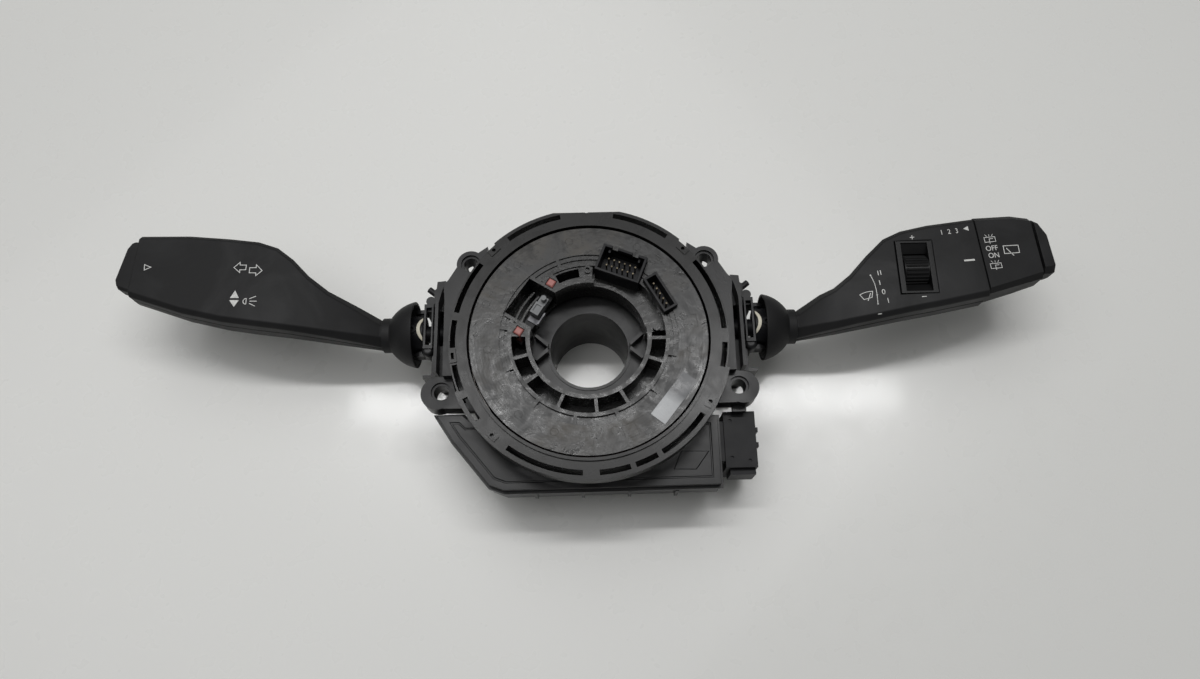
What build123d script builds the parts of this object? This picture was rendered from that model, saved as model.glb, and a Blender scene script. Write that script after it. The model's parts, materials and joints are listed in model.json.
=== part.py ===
from build123d import *
from math import radians, degrees, sin, cos, tan, hypot, atan2
import os

os.makedirs("parts", exist_ok=True)

# Combination stalk switch: steering-column module with a rotating contact
# unit in the middle and one stalk on each side.  Millimetres, +Z towards the
# driver, origin on the column axis at the rear rest plane.

# ---- general clearances -------------------------------------------------
SEAT_GAP = 0.3          # visible joint line between separate mouldings
RUN_GAP = 0.06          # radial running clearance of a pin in its bearing
SLIDE_GAP = 0.25        # side clearance of a button in its guide
PEG_GAP = 0.05          # screw or peg in its hole

# ---- column bore and carrier --------------------------------------------
BORE_R = 17.0           # bore the column sleeve passes through
SLEEVE_WALL = 1.3       # visible rim of the sleeve
SLEEVE_TOP = 42.5
SLEEVE_ROOT_R = 21.0    # thick lower part of the sleeve
SLEEVE_ROOT_TOP = 34.0
FOOT_R = 28.0           # flange that rests on the column bracket
FOOT_T = 3.0
FOOT_RIBS = 8
FOOT_RIB_T = 2.2
PLATE_BOTTOM = 36.0
PLATE_TOP = 42.0
PLATE_R = 56.5
PLATE_CUT_Y = -29.2     # lower edge, where the electronics box begins
SIDE_X = 62.3           # outer face of the side rims
SIDE_TOP = 52.0
EAR_TOP = 47.0
EAR_BOTTOM = 37.0
EAR_HOLE_R = 3.2
EAR_BORE_R = 4.3        # shallow counterbore
EAR_BORE_D = 1.2
LOW_EAR_X = 63.4        # screw hole of the lower ears
LOW_EAR_Y = -18.8
LOW_BOSS_X = 65.0       # the lower ears' outline stands a little further out
LOW_BOSS_Y = -19.3
LOW_EAR_R = 7.0
TOP_EAR_X = 51.3
TOP_EAR_Y = 37.8
TOP_EAR_R = 6.2
TOP_EAR_RISE = 5.0      # the upper ears stand this much higher than the lower ones

# ---- contact unit: fixed ring and floor ---------------------------------
FACE_Z = 60.0           # rotor face
RING_LIP_IN = 50.9
RING_LIP_OUT = 52.2
RING_LIP_RISE = 1.1
RING_T = 2.2
RING_WALL_IN = 54.2
RING_WALL_OUT = 55.2
SLOT_IN = 55.8
SLOT_OUT = 58.0
SKIRT_IN = 57.3
RING_OUT = 59.9         # lower half of the rim
RING_SIDE_OUT = 58.7    # rim beside the carrier
RING_SKIRT_BOTTOM = 52.5
RING_FLAT_Y = 57.7      # flat across the top
FLOOR_T = 2.0
FLOOR_IN = 38.2
RIM_STEPS = [(47.7, 132.4, RING_OUT - 0.4), (132.4, 202.0, RING_SIDE_OUT), (-14.0, 47.7, RING_SIDE_OUT)]
SLOTS = [(101.6, 126.7), (52.7, 78.2), (143.0, 167.5), (171.0, 183.3),
         (190.9, 202.6), (206.0, 217.0), (233.8, 266.7), (273.5, 286.2), (288.5, 298.1),
         (300.5, 323.8), (345.7, 356.5), (2.7, 36.1)]
CLIP_ANGLES = [134.8, 225.8, 329.6, 43.6]
TAB_ANGLE = 187.1
TAB_RISE = 0.6

# ---- contact unit: rotor -------------------------------------------------
ROTOR_R = 50.0
ROTOR_T = 2.2
HUB_OUT = 37.1
HUB_WALL = 1.5
BAND_IN = 34.0
BAND_DROP = 1.4
CELL_OUT = 32.4
CELL_IN = 26.4
HUB_IN = 24.6
HUB_FLOOR_T = 1.2
ROTOR_LIFT = 0.3        # rotor floor above the fixed floor plane
WEB_T = 1.4
WEB_ANGLES = [-165.0, -144.3, -114.0, -84.8, -61.0, -19.8, -1.2]
BRIDGE_ANGLES = [110.1, 172.2, -158.6, -128.6, -100.0, -71.4, -41.1, -13.1]
COIL_IN = 38.6
COIL_TURNS = 5
COIL_STEPS = 18         # straight runs in one turn
COIL_PITCH = 2.7
COIL_T = 0.55
COIL_H = 9.0

# ---- connectors on the rotor --------------------------------------------
HORN_XY = (14.4, 31.5)
HORN_TURN = -21.6
HORN_L = 19.8
HORN_W = 12.4
HORN_TOP = 64.2
BAG_XY = (30.6, 18.6)
BAG_TURN = -61.0
BAG_L = 17.4
BAG_W = 6.6
BAG_TOP = 63.0
PLUG_SEAT = 54.0
PLUG_WALL = 1.1
PLUG_FLOOR = 1.5
PIN_SIDE = 0.6
PIN_RISE = 5.5

# ---- label ---------------------------------------------------------------
LABEL_XY = (34.6, -26.8)
LABEL_TURN = 51.3
LABEL_L = 22.8
LABEL_W = 7.2
LABEL_T = 0.25

# ---- transport lock ------------------------------------------------------
LOCK_A = (-15.6, 24.8)
LOCK_B = (-29.3, 3.4)
LOCK_PIN = 3.4
LOCK_TRAVEL = 3.0
LOCK_BAR_Z = 50.0
LOCK_BAR_T = 1.6
LOCK_BAR_W = 4.4
LOCK_BAR_END = 2.6
LOCK_PROUD = 0.5
POCKET_RIB_RISE = 1.0    # the ribs under the lock bar end just inside its slot
LEVER_DROP = 3.0         # the release lever lies this far under the rotor face
LEVER_TOP = FACE_Z - LEVER_DROP
LOCK_SPRING_R = 1.3
LOCK_WIRE_R = 0.25

# ---- electronics box -----------------------------------------------------
BOX_BOTTOM = 22.0
BOX_TOP = 36.0
FLANGE_TOP = 38.0
COVER_TOP = 41.7
BOX_WALL = 1.8
FLANGE_OUT = 1.0
COVER_IN = 1.2
BOX_LINE = [(-66.0, -27.6), (-65.4, -28.6), (-58.7, -38.9), (-43.0, -58.0), (-36.8, -60.4),
            (54.2, -59.8), (54.2, -30.2), (-52.0, -30.2), (-54.8, -27.6)]
PAD = [(37.9, -45.4), (49.4, -45.7), (43.8, -53.2), (34.6, -53.0)]
PAD_RISE = 0.4
BOARD_T = 1.6
BOARD_Z = 29.0
DRAIN_Z = 24.0

# ---- vehicle plug --------------------------------------------------------
VP_X0 = 57.2
VP_X1 = 70.8
VP_Y0 = -51.8
VP_Y1 = -27.5
VP_BOTTOM = 12.0
VP_TOP = 36.0
VP_WALL = 1.5
VP_DEPTH = 18.0

# ---- stalk switch blocks -------------------------------------------------
PIVOT_Y = 13.6          # height of both stalk roots
PIVOT_Z = 28.0
SWING_U = 79.5          # distance of the up/down axis from the column axis
PULL_U = 76.4           # distance of the push/pull axis
BLOCK_IN = 44.0
BLOCK_OUT = 70.0
BLOCK_Y0 = -8.8
BLOCK_Y1 = 32.6
BLOCK_BOTTOM = 8.0
BLOCK_TOP = 35.7
BLOCK_WALL = 2.0
RIM_IN = 66.4
RIM_OUT = 67.8
RIM_TOP = 44.0
COLLAR_OUT = 73.6
COLLAR_Y = (3.6, 24.4)
COLLAR_Z = (16.5, 39.0)
MOUTH_Y = 8.2           # half height of the arm opening
MOUTH_Z = 9.0
HOOP_T = 0.9            # front bar of the guide collar
KNUCKLE_IN = 9.3        # bearing cheeks beside the yoke
KNUCKLE_OUT = 11.0
KNUCKLE_R = 3.0
TRUNNION_R = 1.9
BOSS_STAND = 1.3        # round boss above the collar, beyond the outer wall
BOSS_RISE = 13.2        # above the pivot
BOSS_R = 2.2
PEG_R = 1.4             # slanted peg above the boss
PEG_RISE = 16.7
PEG_TURN = 39.0
PEG_L = 4.6
PEG_ROOT = 1.0          # depth of its root in the wall
LUMP_STAND = 1.7        # rounded lump below the collar
LUMP_DROP = 10.4        # below the pivot
LUMP_R = 2.8
LUMP_ROUND = 1.8
LUMP_RISE = 2.4         # above the top of the block
COVER_T = 2.0
LUG_U = 40.0
LUG_Y = (-1.0, 25.5)
LUG_R = 4.2
LUG_BOTTOM = 31.0
SCREW_R = 1.5
SCREW_HEAD_R = 3.0
SCREW_HEAD_H = 2.4
SCREW_REACH = 41.0

# ---- yoke and arm --------------------------------------------------------
YOKE_R = 8.6
YOKE_IN = 74.6
YOKE_OUT = 82.4
YOKE_BORE = 5.2
YOKE_WALL = 1.2         # least wall at the corners of the yoke's hole
SWING_PIN_R = 1.9
SHELL_T = 0.8           # guide crescent on the yoke
SHELL_SEAT = 0.03
CRESCENT_R = 6.8
CRESCENT_T = 1.5
ARM_R = 3.9
ARM_IN = 58.0
ARM_OUT = 86.0
PLUNGER_R = 2.0
PLUNGER_TIP = 54.2
RAMP_GAP = 0.5
RAMP_T = 3.0

# ---- dust cap ------------------------------------------------------------
CAP_MOUTH_R = 15.2
CAP_WALL = 1.2
CAP_NECK_R = 7.9
CAP_RIM_U = 78.6
CAP_CROWN_U = 89.8

# ---- stalks: (distance, y low, y high, z low, z high, bevel) ------------
SHELL_WALL = 1.8
PART_LINE = 0.25
LEFT_SECTIONS = [
    (84.0, 7.2, 20.0, 21.6, 34.4, 3.7),
    (94.0, 7.2, 20.0, 21.6, 34.4, 3.7),
    (104.0, 7.9, 24.6, 25.4, 40.2, 3.0),
    (116.0, 8.9, 30.2, 29.6, 45.2, 2.4),
    (124.5, 9.8, 36.6, 31.8, 47.8, 2.2),
    (131.5, 10.6, 44.0, 33.2, 49.4, 2.0),
    (138.4, 11.4, 49.3, 34.0, 50.4, 2.0),
    (147.0, 12.5, 52.2, 34.4, 51.0, 2.0),
    (160.0, 14.6, 54.0, 34.6, 51.0, 2.0),
    (178.0, 19.0, 55.8, 35.2, 51.0, 2.0),
    (204.5, 28.2, 56.6, 36.4, 50.4, 2.0)]
RIGHT_SECTIONS = [
    (84.0, 7.2, 20.0, 21.6, 34.4, 3.7),
    (94.0, 7.2, 20.0, 21.6, 34.4, 3.7),
    (104.0, 7.8, 25.2, 25.4, 40.2, 3.0),
    (110.0, 8.2, 27.2, 27.8, 43.0, 2.6),
    (117.0, 9.0, 32.3, 29.8, 45.6, 2.4),
    (124.5, 9.8, 40.2, 31.8, 47.8, 2.2),
    (132.3, 10.9, 47.3, 33.4, 49.6, 2.0),
    (140.0, 12.1, 50.5, 34.1, 50.6, 2.0),
    (152.0, 14.0, 52.9, 34.4, 51.0, 2.0),
    (179.0, 19.2, 56.2, 34.6, 51.0, 2.0)]
LEFT_SEAM = 201.6       # distance of the left end seam at mid height
LEFT_END = 209.8        # distance of the left end button's face
LEFT_END_TURN = 13.0
SEAM_TURN = 4.0         # the stalk ends rise outwards by this angle
KNOB_SEAM = 173.9
KNOB_SECTIONS = [(170.0, 18.0, 55.5, 34.6, 51.2, 2.0),
                 (190.0, 23.6, 56.6, 35.4, 50.8, 2.2),
                 (206.0, 28.4, 54.6, 37.2, 49.8, 2.4)]
KNOB_END = 199.4
AXIS_Y = 37.4           # twist axis height at the seam
AXIS_Z = 43.0
CORE_R = 5.8
CORE_WALL = 1.3
BUTTON_TRAVEL = 1.2
BUTTON_INSET = 2.2
SPRING_R = 2.6
SPRING_WIRE = 0.35

# ---- thumbwheel ----------------------------------------------------------
WHEEL_X = 144.6
WHEEL_Y = 32.4
WHEEL_Z = 44.8
WHEEL_R = 7.4
WHEEL_W = 10.8
WHEEL_GAP = 0.35        # room around the wheel
WHEEL_SIDE_GAP = 0.4    # room beside the wheel
WHEEL_RIBS = 16
AXLE_R = 1.4
WINDOW_L = 16.4
WINDOW_H = 25.0
BEZEL_WALL = 1.0


# ==== helpers =============================================================
def polar(r, a):
    return (r * cos(radians(a)), r * sin(radians(a)))


def ring(r_in, r_out, z0, z1):
    face = Circle(r_out) - Circle(r_in) if r_in else Circle(r_out)
    return Pos(0, 0, z0) * extrude(face, z1 - z0)


def rod(x, y, r, z0, z1):
    return Pos(x, y, z0) * extrude(Circle(r), z1 - z0)


def sector(r_in, r_out, a0, a1, z0, z1):
    mid = (a0 + a1) / 2
    outer = ThreePointArc(polar(r_out, a0), polar(r_out, mid), polar(r_out, a1))
    side = Line(polar(r_out, a1), polar(r_in, a1))
    inner = ThreePointArc(polar(r_in, a1), polar(r_in, mid), polar(r_in, a0))
    back = Line(polar(r_in, a0), polar(r_out, a0))
    face = make_face(Curve() + [outer, side, inner, back])
    return Pos(0, 0, z0) * extrude(face, z1 - z0)


def prism(points, z0, z1):
    face = make_face(Polyline(*points, close=True))
    return Pos(0, 0, z0) * extrude(face, z1 - z0)


def block(x0, x1, y0, y1, z0, z1):
    size = Box(x1 - x0, y1 - y0, z1 - z0)
    return Pos((x0 + x1) / 2, (y0 + y1) / 2, (z0 + z1) / 2) * size


def turned(xy, turn, length, width, z0, z1):
    return Pos(xy[0], xy[1], (z0 + z1) / 2) * Rot(0, 0, turn) * Box(length, width, z1 - z0)


def radial_rib(a, r_in, r_out, thick, z0, z1):
    bar = block(r_in, r_out, -thick / 2, thick / 2, z0, z1)
    return Rot(0, 0, a) * bar


def along(u0, u1, r, y=PIVOT_Y, z=PIVOT_Z):
    return Pos(u0, y, z) * Rot(0, 90, 0) * extrude(Circle(r), u1 - u0)


def across(u, y0, y1, r, z=PIVOT_Z):
    return Pos(u, y0, z) * Rot(-90, 0, 0) * extrude(Circle(r), y1 - y0)


def coil_spring(r, wire, length, turns):
    path = Helix(pitch=length / turns, height=length, radius=r)
    start = Plane(origin=path @ 0, z_dir=path % 0)
    return sweep(start * RegularPolygon(wire, 4), path=path, is_frenet=True)


def join(shapes):
    out = shapes[0]
    for shape in shapes[1:]:
        out = out + shape
    return out


def save(shape, name, color):
    shape.label = name
    shape.color = Color(*color)
    export_step(shape, f"parts/{name}.step")


def put_side(shape, name, side, color):
    placed = shape if side > 0 else mirror(shape, about=Plane.YZ)
    save(placed, name, color)


BLACK = (0.10, 0.10, 0.10)
DARK = (0.07, 0.07, 0.07)
CREAM = (0.85, 0.80, 0.66)
STEEL = (0.72, 0.72, 0.74)
BRASS = (0.75, 0.62, 0.30)
PINK = (0.74, 0.42, 0.40)
GREY = (0.45, 0.46, 0.48)
GREEN = (0.08, 0.28, 0.16)


def octagon(y0, y1, z0, z1, bevel):
    return [(y0 + bevel, z0), (y1 - bevel, z0), (y1, z0 + bevel), (y1, z1 - bevel),
            (y1 - bevel, z1), (y0 + bevel, z1), (y0, z1 - bevel), (y0, z0 + bevel)]


def section(u, y0, y1, z0, z1, bevel, shrink=0.0):
    plane = Plane(origin=(u, 0, 0), x_dir=(0, 1, 0), z_dir=(1, 0, 0))
    b = max(bevel - 0.4 * shrink, 0.4)
    points = octagon(y0 + shrink, y1 - shrink, z0 + shrink, z1 - shrink, b)
    return plane * make_face(Polyline(*points, close=True))


def stalk_solid(sections, shrink=0.0):
    return loft([section(*s, shrink=shrink) for s in sections], ruled=True)


# ==== carrier frame =======================================================
def ear_web(side, points, rise=0.0):
    return prism([(side * x, y) for x, y in points], EAR_BOTTOM + 1, EAR_TOP + rise)


def build_carrier():
    rest = PLATE_CUT_Y
    plate = ring(BORE_R + SLEEVE_WALL, PLATE_R, PLATE_BOTTOM, PLATE_TOP)
    plate = plate - block(-90, 90, -90, rest, 0, 70)
    sleeve = ring(BORE_R, BORE_R + SLEEVE_WALL, 0, SLEEVE_TOP)
    root = ring(BORE_R, SLEEVE_ROOT_R, 0, SLEEVE_ROOT_TOP)
    neck = ring(BORE_R, SLEEVE_ROOT_R, PLATE_BOTTOM - 3, PLATE_TOP)
    foot = ring(BORE_R, FOOT_R, 0, FOOT_T)
    body = plate + sleeve + root + neck + foot
    for i in range(FOOT_RIBS):
        a = (i + 0.5) * 360 / FOOT_RIBS
        profile = Polyline((19, 0), (FOOT_R, 0), (FOOT_R, FOOT_T + 1), (24, 20), (24, PLATE_BOTTOM + 1),
                           (19, PLATE_BOTTOM + 1), close=True)
        face = Plane.XZ * make_face(profile)
        rib = Pos(0, FOOT_RIB_T / 2, 0) * extrude(face, FOOT_RIB_T)
        body = body + Rot(0, 0, a) * rib
    # stiffening ribs behind the upper half of the plate
    for a in (64, 77, 90, 103, 116):
        body = body + radial_rib(a, 20, 55.5, 1.8, PLATE_BOTTOM - 5, PLATE_BOTTOM + 1)
    body = body + (ring(40, 42, PLATE_BOTTOM - 5, PLATE_BOTTOM + 1) & block(-32, 32, 33.5, 60, 20, 50))
    for side in (-1, 1):
        # raised rim beside the contact unit
        rim = prism([(side * 50, -13.0), (side * (SIDE_X - 0.2), -13.0), (side * SIDE_X, 21.2),
                     (side * (SIDE_X + 0.5), 26.5), (side * (SIDE_X + 0.1), 28.9),
                     (side * (SIDE_X - 1.4), 30.6), (side * 57.3, 36.6), (side * 44, 46)],
                    PLATE_BOTTOM, SIDE_TOP)
        body = body + (rim - ring(0, RING_SIDE_OUT + SEAT_GAP, PLATE_TOP, 70))
        # mounting ears with their webs
        top_low = EAR_BOTTOM + TOP_EAR_RISE
        top_high = EAR_TOP + TOP_EAR_RISE
        body = body + rod(side * LOW_BOSS_X, LOW_BOSS_Y, LOW_EAR_R, EAR_BOTTOM, EAR_TOP)
        body = body + rod(side * TOP_EAR_X, TOP_EAR_Y, TOP_EAR_R, top_low, top_high)
        low = ear_web(side, [(48, -10), (66, -12.5), (67.5, -19), (62, -26.0), (48, -26.2)])
        top = ear_web(side, [(40, 33), (56.8, 31.2), (56.8, 38), (48, 43.2), (38, 42)], TOP_EAR_RISE)
        webs = (low + top) - ring(0, RING_OUT + SEAT_GAP, PLATE_TOP, 70)
        body = body + webs
        ears = ((LOW_EAR_X, LOW_EAR_Y, EAR_TOP), (TOP_EAR_X, TOP_EAR_Y, top_high))
        for x, y, face in ears:
            body = body - rod(side * x, y, EAR_HOLE_R, EAR_BOTTOM - 2, face + 1)
            body = body - rod(side * x, y, EAR_BORE_R, face - EAR_BORE_D, face + 1)
        for y in LUG_Y:
            body = body - rod(side * LUG_U, y, SCREW_R + PEG_GAP, PLATE_BOTTOM - 7, SCREW_REACH + 0.3)
        # V-shaped guide ribs beside the sleeve
        for k in (-1, 1):
            vee = prism([(side * 18.0, k * 0.2), (side * 23.6, k * 5.2), (side * 22.6, k * 6.0),
                         (side * 17.4, k * 1.6)], PLATE_TOP - 1, PLATE_TOP + 6)
            body = body + (vee - ring(0, BORE_R + 0.2, 0, 70))
    # clip tab below the right ear
    body = body + block(60.8, 66.6, -28.6, -24.2, EAR_BOTTOM + 1, EAR_BOTTOM + 4)
    # nothing of the plate reaches into the switch blocks or the sleeve
    body = body - ring(0, BORE_R, -1, 70)
    return body


save(build_carrier(), "carrier_frame", BLACK)


# ==== fixed ring and floor of the contact unit ============================
def build_stator():
    z1 = FACE_Z
    z0 = FACE_Z - RING_T
    body = ring(RING_LIP_IN, RING_OUT, z0, z1)
    body = body + ring(RING_LIP_IN, RING_LIP_OUT, z0, z1 + RING_LIP_RISE)
    body = body + ring(RING_WALL_IN, RING_WALL_OUT, PLATE_TOP + FLOOR_T, z1)
    body = body + ring(SKIRT_IN, RING_OUT, RING_SKIRT_BOTTOM, z1)
    # the rim is narrower beside the carrier and a little at the top
    for a0, a1, r in RIM_STEPS:
        body = body - sector(r, RING_OUT + 3, a0, a1, RING_SKIRT_BOTTOM - 1, z1 + 3)
    for a0, a1 in SLOTS:
        body = body - sector(SLOT_IN, SLOT_OUT, a0, a1, z0 - 10, z1 + 1)
    # snap clips that hold the ring down
    for a in CLIP_ANGLES:
        clip = block(RING_WALL_OUT + 0.3, SLOT_OUT + 0.4, -2.6, 2.6, z0 - 0.4, z1 + 0.5)
        hole = rod(57.0, 0, 0.8, z1 - 1.4, z1 + 2)
        body = body + Rot(0, 0, a) * clip
        body = body - Rot(0, 0, a) * hole
    # raised window frame on the left of the rim
    frame_bar = block(RING_WALL_OUT + 0.4, RING_SIDE_OUT - 0.3, -2.9, 2.9, z0 - 0.5, z1 + TAB_RISE)
    frame_hole = block(RING_WALL_OUT + 1.3, SLOT_OUT - 0.3, -1.4, 1.4, z0 - 2, z1 + 2)
    body = body + Rot(0, 0, TAB_ANGLE) * frame_bar
    body = body - Rot(0, 0, TAB_ANGLE) * frame_hole
    body = body - block(-40, 40, RING_FLAT_Y, 70, 40, 70)
    # small index notch at twelve o'clock
    body = body - block(-0.6, 0.6, 56.2, 60, z1 - 0.5, z1 + 1)
    return body


save(build_stator(), "stator_ring", BLACK)
floor_plate = ring(FLOOR_IN, RING_WALL_OUT, PLATE_TOP, PLATE_TOP + FLOOR_T)
save(floor_plate, "cassette_floor", BLACK)


def build_coil():
    steps = COIL_STEPS
    outer = []
    inner = []
    for i in range(COIL_TURNS * steps + 1):
        a = 360 * i / steps
        r = COIL_IN + COIL_PITCH * i / steps
        outer.append(polar(r + COIL_T, a))
        inner.append(polar(r, a))
    face = make_face(Polyline(*(outer + inner[::-1]), close=True))
    return Pos(0, 0, PLATE_TOP + FLOOR_T + 0.4) * extrude(face, COIL_H)


save(build_coil(), "ribbon_coil", (0.55, 0.42, 0.22))


# ==== rotor ===============================================================
LOCK_DX = LOCK_B[0] - LOCK_A[0]
LOCK_DY = LOCK_B[1] - LOCK_A[1]
LOCK_TURN = degrees(atan2(LOCK_DY, LOCK_DX))
LOCK_MID = ((LOCK_A[0] + LOCK_B[0]) / 2, (LOCK_A[1] + LOCK_B[1]) / 2)
LOCK_LEN = hypot(LOCK_DX, LOCK_DY)
ROTOR_LOW = PLATE_TOP + FLOOR_T + ROTOR_LIFT
POCKET = [(-24.6, 27.75), (-13.1, 20.6), (-24.1, 4.2), (-35.9, 11.6)]


def pocket_wall(p, q, thick, z0, z1):
    length = hypot(q[0] - p[0], q[1] - p[1])
    turn = degrees(atan2(q[1] - p[1], q[0] - p[0]))
    mid = ((p[0] + q[0]) / 2, (p[1] + q[1]) / 2)
    return turned(mid, turn, length, thick, z0, z1)


def build_rotor():
    top = FACE_Z
    under = FACE_Z - ROTOR_T
    floor_top = ROTOR_LOW + HUB_FLOOR_T
    body = ring(HUB_OUT + 0.4, ROTOR_R, under, top)
    body = body + ring(ROTOR_R - 1.2, ROTOR_R, under - 1.2, top)
    body = body + ring(HUB_OUT - HUB_WALL, HUB_OUT + 1.0, under, top - 0.7)
    body = body + ring(HUB_OUT - HUB_WALL, HUB_OUT, ROTOR_LOW, under + 0.1)
    body = body + ring(BAND_IN - 0.1, HUB_OUT, under - 0.9, top - BAND_DROP)
    body = body + ring(CELL_OUT, BAND_IN, ROTOR_LOW, top)
    body = body + ring(HUB_IN, HUB_OUT, ROTOR_LOW, floor_top)
    body = body + ring(HUB_IN, CELL_IN, ROTOR_LOW, top)
    for a in WEB_ANGLES:
        body = body + radial_rib(a, CELL_IN - 0.3, CELL_OUT + 0.3, WEB_T, ROTOR_LOW, top - 0.5)
    for a in BRIDGE_ANGLES:
        body = body + radial_rib(a, BAND_IN - 0.3, HUB_OUT + 0.6, WEB_T, under, top)
    # deck between the lock pocket and the large plug, with its curved opening
    body = body + sector(CELL_IN - 0.2, CELL_OUT + 0.2, 86, 128, top - 3.0, top - 0.8)
    body = body - sector(27.6, 31.5, 97, 116, top - 12, top + 1)
    body = body + rod(0.1, 30.7, 1.7, top - 4, top)
    body = body - rod(0.1, 30.7, 0.9, top - 1.2, top + 1)
    # guide decks around the two release pins
    body = body + sector(CELL_IN - 0.2, CELL_OUT + 0.2, 117.0, 127.0, top - 2.2, top)
    body = body + sector(CELL_IN - 0.2, CELL_OUT + 0.2, 167.0, 178.0, top - 2.2, top)
    # lock pocket
    body = body - prism(POCKET, floor_top, top + 1)
    low_wall = pocket_wall(POCKET[0], POCKET[1], WEB_T, ROTOR_LOW, top)
    high_wall = pocket_wall(POCKET[2], POCKET[3], WEB_T, ROTOR_LOW, top)
    walls = (low_wall + high_wall) & ring(HUB_IN, HUB_OUT, 0, 70)
    body = body + walls
    for r in (28.2, 30.4, 33.2):
        body = body + sector(r, r + 0.8, 134, 160, ROTOR_LOW, LOCK_BAR_Z + POCKET_RIB_RISE)
    bar_len = LOCK_LEN + 2 * LOCK_BAR_END + 0.8
    low = LOCK_BAR_Z - LOCK_TRAVEL - 0.3
    high = LOCK_BAR_Z + LOCK_BAR_T + 0.3
    body = body - turned(LOCK_MID, LOCK_TURN, bar_len, LOCK_BAR_W + 0.8, low, high)
    for xy in (LOCK_A, LOCK_B):
        side = LOCK_PIN + 2 * SLIDE_GAP
        body = body - turned(xy, LOCK_TURN, side, side, low, top + 1)
    # plug seats
    body = body + sector(CELL_IN - 0.2, BAND_IN, 8, 92, PLUG_SEAT - 1.5, PLUG_SEAT)
    body = body - sector(HUB_IN - 1, CELL_IN + 0.01, 12, 84, PLUG_SEAT + 2.0, top + 1)
    gap = 2 * 0.15
    body = body - turned(HORN_XY, HORN_TURN, HORN_L + gap, HORN_W + gap, PLUG_SEAT, top + 2)
    body = body - turned(BAG_XY, BAG_TURN, BAG_L + gap, BAG_W + gap, PLUG_SEAT, top + 2)
    # peg in the open cell beside the small plug
    body = body + rod(28.9, 5.2, 1.6, ROTOR_LOW, top - 3.5)
    return body


save(build_rotor(), "rotor_disc", BLACK)


# ==== plugs on the rotor ==================================================
def shroud(length, width, z0, z1):
    outer = Pos(0, 0, (z0 + z1) / 2) * Box(length, width, z1 - z0)
    depth = z1 - z0 - PLUG_FLOOR
    hole = Pos(0, 0, z1 - depth / 2) * Box(length - 2 * PLUG_WALL, width - 2 * PLUG_WALL, depth)
    return outer - hole


def pin_field(columns, rows, pitch_x, pitch_y, z0, rise):
    pins = []
    for i in range(columns):
        for j in range(rows):
            x = (i - (columns - 1) / 2) * pitch_x
            y = (j - (rows - 1) / 2) * pitch_y
            pins.append(Pos(x, y, z0 + rise / 2) * Box(PIN_SIDE, PIN_SIDE, rise))
    return pins


def build_horn():
    body = shroud(HORN_L, HORN_W, PLUG_SEAT, HORN_TOP)
    for x in (-4.6, 4.6):
        # keyways in the far wall
        body = body - Pos(x, HORN_W / 2, HORN_TOP - 2) * Box(2.6, 3.2, 6)
    for x in (-HORN_L / 2 + 3.2, HORN_L / 2 - 3.2):
        body = body + Pos(x, HORN_W / 2 - 1.6, PLUG_SEAT + 4) * Box(1.0, 2.0, 8)
    return body


horn_place = Pos(HORN_XY[0], HORN_XY[1], 0) * Rot(0, 0, HORN_TURN)
bag_place = Pos(BAG_XY[0], BAG_XY[1], 0) * Rot(0, 0, BAG_TURN)
save(horn_place * build_horn(), "horn_connector", DARK)
save(bag_place * shroud(BAG_L, BAG_W, PLUG_SEAT, BAG_TOP), "airbag_connector", DARK)
pin_base = PLUG_SEAT + PLUG_FLOOR
horn_pins = pin_field(6, 2, 2.4, 3.0, pin_base, PIN_RISE)
bag_pins = pin_field(5, 1, 2.6, 2.0, pin_base, PIN_RISE)
save(Compound(children=[horn_place * p for p in horn_pins]), "horn_connector_pins", BRASS)
save(Compound(children=[bag_place * p for p in bag_pins]), "airbag_connector_pins", BRASS)
label = turned(LABEL_XY, LABEL_TURN, LABEL_L, LABEL_W, FACE_Z, FACE_Z + LABEL_T)
save(label, "label_plate", GREY)


# ==== transport lock ======================================================
def build_lock_slide():
    z0 = LOCK_BAR_Z
    z1 = LOCK_BAR_Z + LOCK_BAR_T
    bar = turned(LOCK_MID, LOCK_TURN, LOCK_LEN + 2 * LOCK_BAR_END, LOCK_BAR_W, z0, z1)
    return bar


lock_top = LOCK_BAR_Z + LOCK_BAR_T
save(build_lock_slide(), "lock_slide", DARK)
lock_pins = [turned(xy, LOCK_TURN, LOCK_PIN, LOCK_PIN, lock_top, FACE_Z + LOCK_PROUD)
             for xy in (LOCK_A, LOCK_B)]
lock_pins = [chamfer(p.faces().sort_by(Axis.Z)[-1].edges(), 0.5) for p in lock_pins]
save(Compound(children=lock_pins), "lock_pins", PINK)
lock_place = Pos(LOCK_MID[0], LOCK_MID[1], 0) * Rot(0, 0, LOCK_TURN)
lever = block(-3.4, 2.0, -1.7, 2.3, lock_top, LEVER_TOP) + block(-7.6, -3.2, -1.9, 1.9, lock_top, LEVER_TOP - 2.6)
lever = lever + rod(-6.1, 0.2, 1.2, lock_top, LEVER_TOP + 0.4)
lever = lever - block(-2.4, 1.0, -0.9, 1.5, LEVER_TOP - 0.6, LEVER_TOP + 1)
save(lock_place * lever, "lock_lever", GREY)
foot = block(2.3, 4.6, -1.6, 4.7, lock_top, lock_top + 0.8)
leaf = block(-0.6, 5.2, 4.1, 4.7, lock_top, LEVER_TOP)
save(lock_place * (foot + leaf), "lock_leaf", STEEL)
spring_low = ROTOR_LOW + HUB_FLOOR_T
spring = coil_spring(LOCK_SPRING_R, LOCK_WIRE_R, LOCK_BAR_Z - spring_low - 0.9, 2.5)
save(Pos(LOCK_MID[0], LOCK_MID[1], spring_low + 0.45) * spring, "lock_spring", STEEL)


# ==== electronics box =====================================================
def box_face(grow):
    face = make_face(Polyline(*BOX_LINE, close=True))
    return offset(face, grow, kind=Kind.INTERSECTION) if grow else face


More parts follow.
